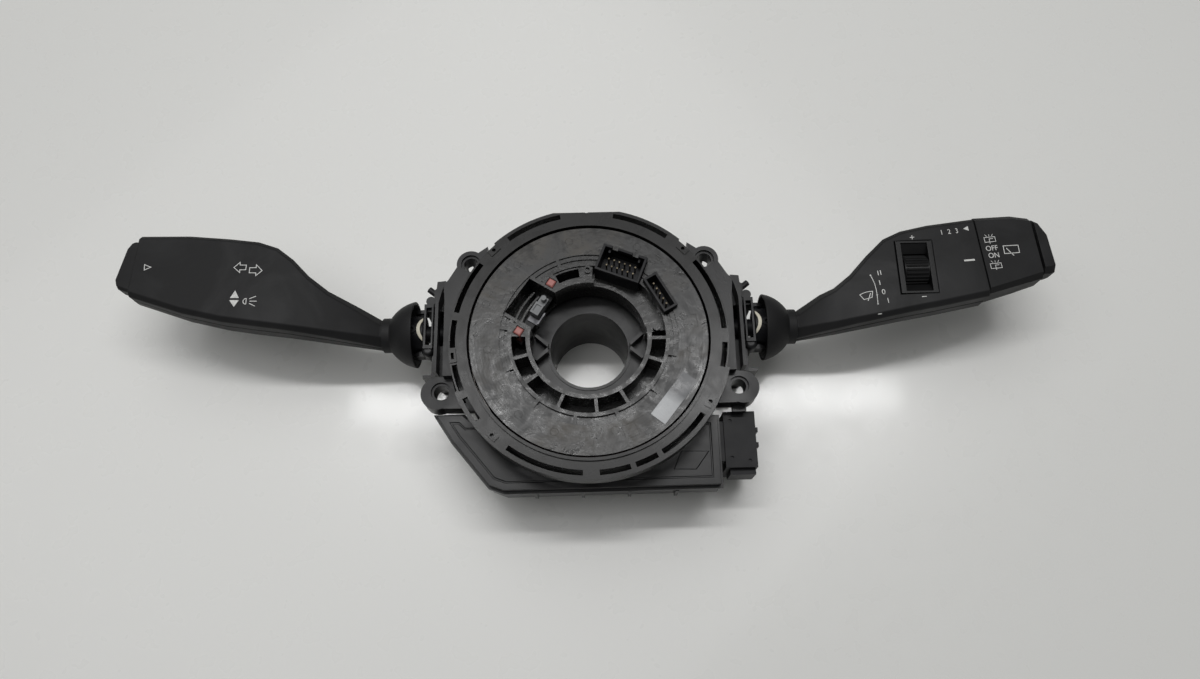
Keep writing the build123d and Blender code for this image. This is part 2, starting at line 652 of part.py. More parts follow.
def build_housing():
    body = Pos(0, 0, BOX_BOTTOM) * extrude(box_face(0), FLANGE_TOP - BOX_BOTTOM)
    body = body + Pos(0, 0, BOX_TOP) * extrude(box_face(FLANGE_OUT), FLANGE_TOP - BOX_TOP)
    body = body - Pos(0, 0, DRAIN_Z) * extrude(box_face(-BOX_WALL), 30)
    for x, y in ((-44, -40), (46, -54), (46, -36), (-20, -54)):
        body = body + rod(x, y, 2.4, DRAIN_Z - 0.5, BOARD_Z)
    for x in (-24, -4, 16, 36):
        # outer stiffening ribs on the lower wall
        body = body + block(x - 0.7, x + 0.7, -61.2, -59.6, BOX_BOTTOM + 1, BOX_TOP)
    return body


def build_cover():
    z0 = FLANGE_TOP
    body = Pos(0, 0, z0) * extrude(box_face(-COVER_IN + 1.0), COVER_TOP - z0)
    body = body - Pos(0, 0, z0 - 1) * extrude(box_face(-BOX_WALL - 1.0), COVER_TOP - 1.6 - z0 + 1)
    groove = box_face(-3.2) - box_face(-3.9)
    body = body - Pos(0, 0, COVER_TOP - 0.4) * extrude(groove, 1)
    body = body + prism(PAD, COVER_TOP - 0.2, COVER_TOP + PAD_RISE)
    return body


save(build_housing(), "electronics_housing", BLACK)
save(build_cover(), "electronics_cover", BLACK)
board = Pos(0, 0, BOARD_Z) * extrude(box_face(-BOX_WALL - 0.4), BOARD_T)
save(board, "circuit_board", GREEN)
board_top = BOARD_Z + BOARD_T
chips = [(-38, -44, 10, 10, 1.6), (-16, -44, 14, 14, 1.8), (6, -40, 8, 6, 1.4), (20, -50, 6, 9, 3.0),
         (32, -40, 7, 7, 5.5), (42, -50, 7, 7, 5.5), (-2, -53, 12, 4, 1.4)]
parts_on_board = [block(x - w / 2, x + w / 2, y - d / 2, y + d / 2, board_top, board_top + h)
                  for x, y, w, d, h in chips]
save(Compound(children=parts_on_board), "board_components", DARK)


# ==== vehicle plug ========================================================
def build_vehicle_plug():
    body = block(VP_X0, VP_X1, VP_Y0, VP_Y1, VP_BOTTOM, VP_TOP)
    cavity = block(VP_X0 + VP_WALL, VP_X1 - VP_WALL, VP_Y0 + VP_WALL, VP_Y1 - VP_WALL,
                   VP_BOTTOM - 1, VP_BOTTOM + VP_DEPTH)
    body = body - cavity
    body = body + block(54.2 + FLANGE_OUT - 1.0, VP_X0 + 0.2, VP_Y0 + 3, VP_Y1 - 4, BOX_BOTTOM + 2, BOX_TOP - 1)
    for y in (-35.4, -41.9):
        body = body + block(VP_X1 - 0.2, VP_X1 + 1.1, y - 1.0, y + 1.0, VP_TOP - 5, VP_TOP - 1)
    # latch bridge under the plug
    body = body + block(VP_X0 + 2, VP_X1 - 0.6, VP_Y0 - 2.6, VP_Y0 + 0.2, VP_BOTTOM + 8, VP_TOP - 3)
    body = body - block(VP_X0 + 4, VP_X1 - 2.6, VP_Y0 - 1.2, VP_Y0 + 0.0, VP_BOTTOM, VP_TOP - 5)
    for x, y in ((60.0, -31.5), (60.0, -47.6), (67.6, -49.0)):
        body = body - rod(x, y, 0.8, VP_TOP - 0.8, VP_TOP + 1)
    return body


save(build_vehicle_plug(), "vehicle_connector", DARK)
vp_mid = ((VP_X0 + VP_X1) / 2, (VP_Y0 + VP_Y1) / 2)
vp_top = VP_BOTTOM + VP_DEPTH
vp_pins = pin_field(3, 8, 2.6, 2.4, vp_top - 8, 8)
save(Compound(children=[Pos(vp_mid[0], vp_mid[1], 0) * p for p in vp_pins]), "vehicle_connector_pins", BRASS)


# ==== stalk switch blocks (drawn outward, mirrored for the left) =========
def build_block():
    body = block(BLOCK_IN, BLOCK_OUT, BLOCK_Y0, BLOCK_Y1, BLOCK_BOTTOM, BLOCK_TOP)
    cavity = block(BLOCK_IN + BLOCK_WALL, BLOCK_OUT - BLOCK_WALL, BLOCK_Y0 + BLOCK_WALL,
                   BLOCK_Y1 - BLOCK_WALL, BLOCK_BOTTOM - 1, BLOCK_TOP - BLOCK_WALL)
    body = body - cavity
    # outer rim wall that stands up beside the carrier
    rim = block(RIM_IN, RIM_OUT, BLOCK_Y0, BLOCK_Y1 - 3, BLOCK_TOP - 3, RIM_TOP)
    shoulder = prism([(RIM_IN, 23.0), (RIM_OUT, 25.0), (RIM_OUT - 0.6, 33.0), (RIM_IN - 3.0, 33.4),
                      (RIM_IN - 1.2, 28.0)], BLOCK_TOP - 3, RIM_TOP)
    body = body + rim + shoulder
    # guide collar around the arm opening
    y0, y1 = COLLAR_Y
    z0, z1 = COLLAR_Z
    body = body + block(BLOCK_OUT - 0.5, COLLAR_OUT, y0, y1, z0, z1)
    body = body - block(BLOCK_OUT - 5, COLLAR_OUT + 1, PIVOT_Y - MOUTH_Y, PIVOT_Y + MOUTH_Y,
                        PIVOT_Z - MOUTH_Z, PIVOT_Z + MOUTH_Z)
    # the collar's front is an open hoop
    body = body - block(BLOCK_OUT + 0.2, COLLAR_OUT - HOOP_T, y0 + 1.6, y1 - 1.6, z1 - 2.6, z1 + 1)
    # bearing cheeks for the yoke trunnions
    for k in (-1, 1):
        near = PIVOT_Y + k * KNUCKLE_IN
        far = PIVOT_Y + k * KNUCKLE_OUT
        lo = min(near, far)
        hi = max(near, far)
        cheek = across(PULL_U, lo, hi, KNUCKLE_R)
        cheek = cheek + block(BLOCK_OUT - 0.5, PULL_U, lo, hi, PIVOT_Z - KNUCKLE_R, PIVOT_Z + KNUCKLE_R)
        cheek = cheek - across(PULL_U, lo - 1, hi + 1, TRUNNION_R + RUN_GAP)
        body = body + cheek
    # boss, peg and fin on the outer wall
    boss_u = BLOCK_OUT + BOSS_STAND
    boss_y = PIVOT_Y + BOSS_RISE
    body = body + rod(boss_u, boss_y, BOSS_R, BLOCK_TOP - 12, BLOCK_TOP + 0.6)
    body = body + block(BLOCK_OUT - 0.5, boss_u, boss_y - 1.4, boss_y + 1.4, BLOCK_TOP - 12, BLOCK_TOP - 2)
    peg_start = Pos(BLOCK_OUT - PEG_ROOT, PIVOT_Y + PEG_RISE, BLOCK_TOP - PEG_R)
    body = body + peg_start * Rot(0, 0, PEG_TURN) * Rot(0, 90, 0) * extrude(Circle(PEG_R), PEG_L)
    lump = rod(BLOCK_OUT + LUMP_STAND, PIVOT_Y - LUMP_DROP, LUMP_R, BLOCK_TOP - 4.5, BLOCK_TOP + LUMP_RISE)
    body = body + fillet(lump.faces().sort_by(Axis.Z)[-1].edges(), LUMP_ROUND)
    body = body + block(BLOCK_OUT - 0.5, 74.2, -8.6, -7.2, 14, BLOCK_TOP - 2)
    for y in LUG_Y:
        lug = rod(LUG_U, y, LUG_R, LUG_BOTTOM, BLOCK_TOP)
        lug = lug + block(LUG_U, BLOCK_IN + 0.5, y - LUG_R, y + LUG_R, LUG_BOTTOM, BLOCK_TOP)
        lug = lug - rod(LUG_U, y, SCREW_R + PEG_GAP, LUG_BOTTOM - 1, BLOCK_TOP + 1)
        body = body + lug
    for y in (-4, 4, 12, 20, 28):
        # rear grip ribs on the inner wall
        body = body + block(BLOCK_IN - 1.2, BLOCK_IN + 0.2, y - 0.8, y + 0.8, BLOCK_BOTTOM + 2, LUG_BOTTOM - 1)
    return body


def build_cover_plate():
    body = block(BLOCK_IN - 0.6, BLOCK_OUT + 0.6, BLOCK_Y0 - 0.6, BLOCK_Y1 + 0.6, BLOCK_BOTTOM - COVER_T, BLOCK_BOTTOM)
    body = fillet(body.edges().filter_by(Axis.Z), 3)
    lip = block(BLOCK_IN + BLOCK_WALL + 0.2, BLOCK_OUT - BLOCK_WALL - 0.2, BLOCK_Y0 + BLOCK_WALL + 0.2,
                BLOCK_Y1 - BLOCK_WALL - 0.2, BLOCK_BOTTOM - 0.2, BLOCK_BOTTOM + 1.8)
    lip = lip - block(BLOCK_IN + BLOCK_WALL + 1.4, BLOCK_OUT - BLOCK_WALL - 1.4, BLOCK_Y0 + BLOCK_WALL + 1.4,
                      BLOCK_Y1 - BLOCK_WALL - 1.4, BLOCK_BOTTOM - 0.2, BLOCK_BOTTOM + 3)
    body = body + lip
    for i in range(5):
        u = 49 + i * 4.2
        body = body - block(u, u + 2.0, 2, 22, BLOCK_BOTTOM - COVER_T - 1, BLOCK_BOTTOM - COVER_T + 0.8)
    return body


def build_contact_board():
    z0 = BLOCK_BOTTOM + 1.8
    return block(BLOCK_IN + BLOCK_WALL + 0.6, BLOCK_OUT - BLOCK_WALL - 0.6, BLOCK_Y0 + BLOCK_WALL + 0.6,
                 BLOCK_Y1 - BLOCK_WALL - 0.6, z0, z0 + BOARD_T)


def build_ramp():
    r = SWING_U - PLUNGER_TIP + RAMP_GAP
    z0 = PIVOT_Z - 6
    z1 = BLOCK_TOP - BLOCK_WALL
    arc = sector(r, r + RAMP_T, 180 - 22, 180 + 22, 0, z1 - z0)
    arc = Pos(SWING_U, PIVOT_Y, z0) * arc
    for k in (-2, -1, 1, 2):
        # detent crests stand back from the plunger path
        a = 180 + k * 7
        x = SWING_U + (r + 0.1) * cos(radians(a))
        y = PIVOT_Y + (r + 0.1) * sin(radians(a))
        arc = arc - rod(x, y, 0.9, z0 - 1, z1 + 1)
    back = block(BLOCK_IN + BLOCK_WALL, SWING_U - r - RAMP_T + 1.2, PIVOT_Y - 9, PIVOT_Y + 9, z0, z1)
    return arc + back


# ==== yoke, arm, plunger, dust cap =======================================
def build_yoke():
    body = along(YOKE_IN, YOKE_OUT, YOKE_R)
    hole = Pos((YOKE_IN + YOKE_OUT) / 2, PIVOT_Y, PIVOT_Z) * Box(20, 2 * YOKE_BORE, 2 * YOKE_BORE)
    body = body - (hole & along(YOKE_IN - 1, YOKE_OUT + 1, YOKE_R - YOKE_WALL))
    body = body + across(PULL_U, PIVOT_Y + YOKE_BORE + 0.5, PIVOT_Y + KNUCKLE_OUT - 0.1, TRUNNION_R)
    body = body + across(PULL_U, PIVOT_Y - KNUCKLE_OUT + 0.1, PIVOT_Y - YOKE_BORE - 0.5, TRUNNION_R)
    body = body - rod(SWING_U, PIVOT_Y, SWING_PIN_R + RUN_GAP, PIVOT_Z - 15, PIVOT_Z + 15)
    return body


def build_guide_shell():
    # crescent that lies on the front of the yoke
    skin = along(YOKE_IN, YOKE_IN + 3.0, YOKE_R + SHELL_T) - along(YOKE_IN - 1, YOKE_IN + 4, YOKE_R + SHELL_SEAT)
    tip = YOKE_IN + 2.6 - CRESCENT_R
    outer = rod(tip, PIVOT_Y, CRESCENT_R, PIVOT_Z, PIVOT_Z + 12)
    inner = rod(tip - CRESCENT_T, PIVOT_Y, CRESCENT_R, PIVOT_Z - 1, PIVOT_Z + 13)
    return skin & (outer - inner)


def build_arm():
    body = along(ARM_IN, ARM_OUT, ARM_R)
    body = body + stalk_solid(RIGHT_SECTIONS[:2], SHELL_WALL + 0.2)
    body = body + rod(SWING_U, PIVOT_Y, SWING_PIN_R, PIVOT_Z - YOKE_R - 0.4, PIVOT_Z + YOKE_R + 0.4)
    body = body - along(ARM_IN - 1, ARM_IN + 9, PLUNGER_R + 0.1)
    # contact carrier flag under the arm
    flag = block(ARM_IN + 1, ARM_IN + 8, PIVOT_Y - 1.2, PIVOT_Y + 1.2, PIVOT_Z - 11.5, PIVOT_Z - 2)
    body = body + flag - along(ARM_IN - 1, ARM_IN + 9, PLUNGER_R + 0.1)
    pin_top = PIVOT_Z + YOKE_R + 0.4
    return body - rod(SWING_U, PIVOT_Y, 0.9, pin_top - 1.2, pin_top + 1)


def build_plunger():
    pin = along(PLUNGER_TIP + 1.4, ARM_IN + 4.5, PLUNGER_R)
    tip = Pos(PLUNGER_TIP + PLUNGER_R, PIVOT_Y, PIVOT_Z) * Sphere(PLUNGER_R)
    return pin + tip


def build_cap():
    axis_face = Plane.XY
    r = CAP_MOUTH_R
    w = CAP_WALL
    n = CAP_NECK_R
    dome = ThreePointArc((CAP_RIM_U, r), (84.7, 12.8), (CAP_CROWN_U, n))
    tube = Line((CAP_CROWN_U, n), (93.5, n))
    lip = Line((93.5, n), (93.5, n - 0.7))
    bore = Line((93.5, n - 0.7), (CAP_CROWN_U - 0.4, n - 0.7))
    inside = ThreePointArc((CAP_CROWN_U - 0.4, n - 0.7), (84.0, 12.8 - w), (CAP_RIM_U, r - w))
    rim = Line((CAP_RIM_U, r - w), (CAP_RIM_U, r))
    face = axis_face * make_face(Curve() + [dome, tube, lip, bore, inside, rim])
    shell = revolve(face, Axis.X)
    return Pos(0, PIVOT_Y, PIVOT_Z) * shell


def spring_along(u0, u1, r, wire, turns, y, z):
    coil = coil_spring(r, wire, u1 - u0 - 2 * wire, turns)
    return Pos(u0 + wire, y, z) * Rot(0, 90, 0) * coil


for side, word in ((-1, "left"), (1, "right")):
    put_side(build_block(), f"switch_housing_{word}", side, BLACK)
    put_side(build_cover_plate(), f"switch_cover_{word}", side, BLACK)
    put_side(build_contact_board(), f"contact_board_{word}", side, GREEN)
    put_side(build_ramp(), f"detent_ramp_{word}", side, CREAM)
    put_side(build_yoke(), f"yoke_{word}", side, DARK)
    put_side(build_guide_shell(), f"guide_shell_{word}", side, CREAM)
    put_side(build_arm(), f"stalk_arm_{word}", side, DARK)
    put_side(build_plunger(), f"plunger_{word}", side, STEEL)
    put_side(build_cap(), f"dust_cap_{word}", side, BLACK)

screws = []
for side in (-1, 1):
    for y in LUG_Y:
        shank = rod(side * LUG_U, y, SCREW_R, LUG_BOTTOM - 0.1, SCREW_REACH)
        head = rod(side * LUG_U, y, SCREW_HEAD_R, LUG_BOTTOM - SCREW_HEAD_H, LUG_BOTTOM)
        drive = rod(side * LUG_U, y, 1.2, LUG_BOTTOM - SCREW_HEAD_H - 1, LUG_BOTTOM - SCREW_HEAD_H + 1.2)
        screws.append(shank + head - drive)
save(Compound(children=screws), "carrier_screws", STEEL)


# ==== stalk shells ========================================================
def beyond(u, turn=SEAM_TURN, y=AXIS_Y, far=80):
    cutter = Pos(far / 2, 0, 0) * Box(far, 160, 160)
    return Pos(u, y, AXIS_Z) * Rot(0, 0, turn) * cutter


def parting(sections, lift):
    line = [(s[0] - (3 if i == 0 else 0), s[3] + 0.52 * (s[4] - s[3]) + lift) for i, s in enumerate(sections)]
    line[-1] = (line[-1][0] + 5, line[-1][1])
    top = [(line[-1][0], 90), (line[0][0], 90)]
    face = Plane.XZ * make_face(Polyline(*(line + top), close=True))
    return Pos(0, 100, 0) * extrude(face, 200)


def split_shell(sections, end_cut):
    outer = stalk_solid(sections)
    inner = stalk_solid(sections, SHELL_WALL)
    hollow = outer - inner - beyond(end_cut)
    upper = parting(sections, PART_LINE / 2)
    lower = parting(sections, -PART_LINE / 2)
    front = hollow & upper
    rear = hollow - lower
    return front, rear


def button_body(sections, seam, end, inset):
    solid = stalk_solid(sections, inset)
    return (solid & beyond(seam)) - beyond(end)


# ---- left stalk ----------------------------------------------------------
left_front, left_rear = split_shell(LEFT_SECTIONS, LEFT_SEAM)
for u, t in ((150, 1.4), (180, 1.4)):
    # cross ribs inside the rear shell
    rib = block(u, u + t, 8, 58, 34, 38.5) & stalk_solid(LEFT_SECTIONS, SHELL_WALL - 0.2)
    left_rear = left_rear + rib
put_side(left_front, "stalk_left_front", -1, BLACK)
put_side(left_rear, "stalk_left_rear", -1, BLACK)


def placed_axis(u):
    return Pos(u, AXIS_Y + (u - KNOB_SEAM) * tan(radians(SEAM_TURN)), AXIS_Z) * Rot(0, 0, SEAM_TURN)


def axis_rod(u0, u1, r, y=AXIS_Y, base=KNOB_SEAM):
    start = Pos(u0, y + (u0 - base) * tan(radians(SEAM_TURN)), AXIS_Z) * Rot(0, 0, SEAM_TURN)
    return start * Rot(0, 90, 0) * extrude(Circle(r), u1 - u0)


def build_left_button():
    button_sections = LEFT_SECTIONS[-2:] + [(214, 31.6, 57.2, 36.9, 50.0, 2.4)]
    body = button_body(button_sections, LEFT_SEAM - 6, 212.0, BUTTON_INSET)
    body = body - beyond(LEFT_END, turn=LEFT_END_TURN, y=35)
    body = body - beyond(LEFT_END - 0.6, turn=-16.0, y=34.5)
    body = body - beyond(LEFT_END - 4.2, turn=34.0, y=51.5)
    core = axis_rod(LEFT_SEAM - 7, LEFT_SEAM + 2.5, SPRING_R + 0.5, y=42.0, base=LEFT_SEAM)
    return body - core


left_button = build_left_button()
put_side(left_button, "button_left", -1, BLACK)
left_stop = block(188.6, 190.0, 24.5, 54, 36.0, 50) & stalk_solid(LEFT_SECTIONS, SHELL_WALL + 0.25)
put_side(left_stop, "button_plate_left", -1, DARK)

# ---- right stalk ---------------------------------------------------------
right_front, right_rear = split_shell(RIGHT_SECTIONS, KNOB_SEAM)
window = block(WHEEL_X - WINDOW_L / 2, WHEEL_X + WINDOW_L / 2, WHEEL_Y - WINDOW_H / 2,
               WHEEL_Y + WINDOW_H / 2, 44, 60)
core_room = axis_rod(KNOB_SEAM - 9, KNOB_SEAM + 1, CORE_R + SEAT_GAP)
wheel_half = WHEEL_W / 2 + WHEEL_SIDE_GAP
wheel_room = Pos(WHEEL_X, WHEEL_Y, WHEEL_Z) * Rot(0, 90, 0) * Cylinder(WHEEL_R + WHEEL_GAP, 2 * wheel_half)
right_front = right_front - window - core_room
right_rear = right_rear - core_room - wheel_room
put_side(right_front, "stalk_right_front", 1, BLACK)
put_side(right_rear, "stalk_right_rear", 1, BLACK)


def build_bezel():
    g = 0.15
    body = block(WHEEL_X - WINDOW_L / 2 + g, WHEEL_X + WINDOW_L / 2 - g, WHEEL_Y - WINDOW_H / 2 + g,
                 WHEEL_Y + WINDOW_H / 2 - g, 45.6, 50.8)
    w = BEZEL_WALL
    # two scoops slope down to the wheel
    top = WINDOW_H / 2 - g - w
    scoop = Polyline((-top, 51), (top, 51), (top, 50.2), (WHEEL_R - 1.2, 47.0), (WHEEL_R - 1.2, 44),
                     (-WHEEL_R + 1.2, 44), (-WHEEL_R + 1.2, 47.0), (-top, 50.2), close=True)
    half = wheel_half
    plane = Plane(origin=(WHEEL_X - half, WHEEL_Y, 0), x_dir=(0, 1, 0), z_dir=(1, 0, 0))
    cut = extrude(plane * make_face(scoop), 2 * half)
    body = body - cut
    body = body - wheel_room
    # hangers that carry the axle
    for k in (-1, 1):
        u = WHEEL_X + k * (half + 0.7)
        hanger = block(u - 0.7, u + 0.7, WHEEL_Y - 3.2, WHEEL_Y + 3.2, WHEEL_Z - 3.2, 46.5)
        hole = Pos(u, WHEEL_Y, WHEEL_Z) * Rot(0, 90, 0) * Cylinder(AXLE_R + PEG_GAP, 4)
        body = body + hanger - hole
    return body


save(build_bezel(), "wheel_bezel", DARK)


def build_wheel():
    body = Cylinder(WHEEL_R - 0.5, WHEEL_W)
    for i in range(WHEEL_RIBS):
        a = 360 * i / WHEEL_RIBS
        body = body + Rot(0, 0, a) * (Pos(WHEEL_R - 0.65, 0, 0) * Box(1.0, 0.9, WHEEL_W - 1.0))
    body = body - Cylinder(AXLE_R + RUN_GAP, WHEEL_W + 2)
    return Pos(WHEEL_X, WHEEL_Y, WHEEL_Z) * Rot(0, 90, 0) * body


save(build_wheel(), "thumbwheel", DARK)
axle_half = wheel_half + 1.4
axle = Pos(WHEEL_X, WHEEL_Y, WHEEL_Z) * Rot(0, 90, 0) * Cylinder(AXLE_R, 2 * axle_half)
save(axle, "thumbwheel_axle", STEEL)

core_out = KNOB_END - 1.6
core = axis_rod(KNOB_SEAM - 8, core_out, CORE_R) - axis_rod(KNOB_SEAM - 9, core_out + 2, CORE_R - CORE_WALL)
flange = block(KNOB_SEAM - 6.4, KNOB_SEAM - 4.6, 10, 60, 30, 55) & stalk_solid(RIGHT_SECTIONS, SHELL_WALL + 0.2)
flange = flange - axis_rod(KNOB_SEAM - 9, KNOB_SEAM, CORE_R - 0.2)
core_web = axis_rod(KNOB_SEAM + 14, KNOB_SEAM + 15.5, CORE_R - 0.5)
knob_core = core + flange + core_web
save(knob_core, "knob_core", DARK)


def build_knob():
    solid = stalk_solid(KNOB_SECTIONS)
    body = (solid & beyond(KNOB_SEAM + SEAT_GAP)) - beyond(KNOB_END)
    body = body - axis_rod(KNOB_SEAM - 2, KNOB_END + 4, CORE_R + RUN_GAP)
    # hollow from the inner end
    inner = stalk_solid(KNOB_SECTIONS, SHELL_WALL)
    keep = axis_rod(KNOB_SEAM - 2, KNOB_END + 4, CORE_R + RUN_GAP + 1.4)
    pocket = (inner & beyond(KNOB_SEAM - 1)) - beyond(KNOB_END - 2.2) - keep
    return body - pocket


save(build_knob(), "ring_knob", BLACK)


def build_right_button():
    sections = [(196.0, 28.6, 55.4, 36.8, 50.2, 2.2), (204.0, 29.0, 54.4, 37.4, 49.8, 2.6),
                (210.0, 31.0, 50.0, 38.4, 49.0, 2.6)]
    solid = stalk_solid(sections)
    gap = BUTTON_TRAVEL + SEAT_GAP
    body = (solid & beyond(KNOB_END + gap)) - beyond(205.8, turn=6.0, y=36)
    body = body - beyond(206.2, turn=30.0, y=44)
    stem = axis_rod(KNOB_SEAM + 19.5, KNOB_END + gap + 0.8, CORE_R - CORE_WALL - SLIDE_GAP)
    stem = stem - axis_rod(KNOB_SEAM + 18, KNOB_END, SPRING_R + 0.5)
    return body + stem


save(build_right_button(), "button_right", BLACK)

# ---- springs -------------------------------------------------------------
left_spring = spring_along(190.05, LEFT_SEAM - 0.6, SPRING_R - 0.5, SPRING_WIRE, 3, 42.0, AXIS_Z)
put_side(left_spring, "button_spring_left", -1, STEEL)
y_mid = AXIS_Y + (KNOB_SEAM + 18 - KNOB_SEAM) * tan(radians(SEAM_TURN))
coil = coil_spring(SPRING_R - 0.5, SPRING_WIRE, 8.0, 3)
start = placed_axis(KNOB_SEAM + 15.5 + SPRING_WIRE + 0.2)
save(start * Rot(0, 90, 0) * coil, "button_spring_right", STEEL)
for side, word in ((-1, "left"), (1, "right")):
    coil = spring_along(ARM_IN + 4.6, ARM_IN + 8.9, PLUNGER_R - 0.6, 0.3, 2.5, PIVOT_Y, PIVOT_Z)
    put_side(coil, f"plunger_spring_{word}", side, STEEL)
print("done")
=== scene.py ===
import json
import math

import bmesh
import bpy
from mathutils import Matrix, Vector
from mathutils.bvhtree import BVHTree

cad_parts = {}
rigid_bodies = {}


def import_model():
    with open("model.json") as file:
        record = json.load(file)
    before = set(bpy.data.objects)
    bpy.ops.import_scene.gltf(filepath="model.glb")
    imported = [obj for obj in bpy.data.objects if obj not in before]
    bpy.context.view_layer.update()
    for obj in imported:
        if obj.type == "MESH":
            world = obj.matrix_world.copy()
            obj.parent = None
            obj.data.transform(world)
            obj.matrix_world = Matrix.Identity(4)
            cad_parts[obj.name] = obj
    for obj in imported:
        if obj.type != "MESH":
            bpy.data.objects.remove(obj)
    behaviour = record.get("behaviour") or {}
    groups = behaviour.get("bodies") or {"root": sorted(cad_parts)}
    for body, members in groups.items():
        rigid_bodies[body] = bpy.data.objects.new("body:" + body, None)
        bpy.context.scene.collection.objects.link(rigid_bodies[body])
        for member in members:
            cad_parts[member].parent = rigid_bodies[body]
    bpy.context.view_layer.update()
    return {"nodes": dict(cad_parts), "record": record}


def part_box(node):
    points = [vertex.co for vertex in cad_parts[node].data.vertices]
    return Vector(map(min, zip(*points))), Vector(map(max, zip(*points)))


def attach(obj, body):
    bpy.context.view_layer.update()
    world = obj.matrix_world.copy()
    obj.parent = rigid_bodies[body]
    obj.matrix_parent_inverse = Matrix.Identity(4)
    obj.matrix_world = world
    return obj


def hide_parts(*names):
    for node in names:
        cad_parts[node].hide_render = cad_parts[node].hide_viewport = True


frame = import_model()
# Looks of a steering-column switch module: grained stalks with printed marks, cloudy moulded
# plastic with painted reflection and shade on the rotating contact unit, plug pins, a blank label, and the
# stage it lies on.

bl_info = {
    "name": "Column Switch Module",
    "version": (1, 0, 0),
    "blender": (4, 5, 0),
    "location": "3D View > Sidebar > Column Switch",
    "description": "Dresses the packed column switch module with moulded, printed and metal finishes",
    "category": "Object",
}

MM = 0.001
RECORD = frame["record"]
BODY_OF = {node: body for body, nodes in RECORD["behaviour"]["bodies"].items() for node in nodes}
SLOT_OF = {row["node"]: row["material_slot"] for row in RECORD["subparts"]}

# ---- moulded housings and stalks
WELD = 0.004 * MM               # corners of a CAD mesh nearer than this are one corner
FLAT = 1.0                      # degrees between facets that count as one face
SEGMENTS = 2
BREAK_FROM = 30.0               # degrees; folds of a housing sharper than this are rounded
SHARP = 32.0                    # degrees; folds left sharper than this stay crisp
RING_BREAK_SHARE = 1.3          # edges of the ring and rotor as a share of the housings' edges
PLUG_BREAK_SHARE = 0.6
BUTTON_BREAK_SHARE = 0.8        # edges of the end buttons as a share of the stalks' edges
STALK_SEGMENTS = 3
STALK_BREAK_FROM = 24.0
STALK_SHARP = 40.0
CAP_BREAK = 0.3 * MM
CAP_BREAK_FROM = 40.0
YOKE_BREAK = 0.3 * MM
PIN_BREAK = 0.2 * MM
LEVER_BREAK = 0.25 * MM
BEZEL_BREAK = 0.2 * MM

# ---- rotor
ROTOR_FACE = 60.0 * MM          # height of the rotor's upper face
CLOUD_SHEEN_HEIGHT = 59.3 * MM        # the pale clouds and painted reflection show above this height; the walls below stay dark as painted shade
CLOUD_SHEEN_RADIUS = 37.8 * MM        # and outside this radius; the hub within stays dark as painted shade
RIM_HEIGHT = 59.0 * MM
RIM_RADIUS = 47.8 * MM
MARK_LINE = 0.08 * MM           # radius of the raised lines of the moulded marks
MARK_SIDES = 28
LINE_SIDES = 6
EJECTOR_MARKS = (               # (turn in degrees, distance from the axis in mm)
    (100, 44.5), (132, 45.0), (160, 46.0), (186, 42.5), (212, 41.0), (228, 43.5), (250, 42.5),
    (284, 41.0), (300, 47.0), (352, 43.0), (12, 41.0), (28, 46.8), (62, 46.0),
)
FRAME_TURNS = (152, 217, 268, 292, 8)   # degrees
FRAME_REACH = 43.2              # mm from the axis to the moulded frames

# ---- thumbwheel
AXLE_GAP = 0.06 * MM            # room round the thumbwheel's axle
WHEEL_SIDES = 72
BORE_SIDES = 48
RIB_SIDES = 10
RIB_INSET = 0.6 * MM            # from the wheel's faces to the ends of its ribs

# ---- printed marks, in mm on the plan
PRINT_CELL = 0.9                # between the cuts that let a flat mark bend over its skin
PRINT_FIRST_CUT = 0.37          # from a whole millimetre to the first cut
PRINT_CUT_NEAR = 0.0001         # a corner nearer than this to a cut lies on it
PRINT_DROP = 90 * MM            # height, in metres, from which a mark is dropped on its skin
INK_SHARE = 0.8                 # thickness of the ink as a share of its rise
MITRE_LIMIT = 0.45              # keeps a sharp corner of a line from growing a long spike
LETTER_FULL = 1.38              # size of the font for letters of height 1
LETTER_SQUEEZE = 0.92           # width of the letters as a share of the font's
LETTER_TURN = 5.0               # degrees
SMALL_LETTER = 2.4
LARGE_LETTER = 2.5

LAMP_OUTLINES = (
    [(-196.0, 41.7), (-193.0, 40.4), (-195.8, 39.1)],
    [(-156.0, 39.2), (-153.5, 41.6), (-153.4, 40.3), (-150.6, 40.2), (-150.7, 38.0), (-153.3, 38.0),
     (-153.2, 36.7)],
    [(-143.5, 37.5), (-146.2, 40.3), (-146.2, 38.9), (-149.0, 38.9), (-149.0, 36.5), (-146.1, 36.4),
     (-146.0, 35.1)],
)
LAMP_ARROWS = (
    [(-156.2, 24.8), (-152.3, 24.7), (-154.3, 28.3)],
    [(-156.4, 23.8), (-154.1, 20.6), (-152.2, 23.7)],
)
LAMP_CENTRE = (-149.0, 23.1)
LAMP_RADIUS = 1.35
LAMP_STEPS = 10
LAMP_LINES = (
    [(-149.0, 24.5), (-149.0, 21.7)],
    [(-147.7, 24.2), (-145.0, 25.4)],
    [(-147.5, 23.1), (-144.4, 23.1)],
    [(-147.6, 22.1), (-145.0, 20.8)],
)

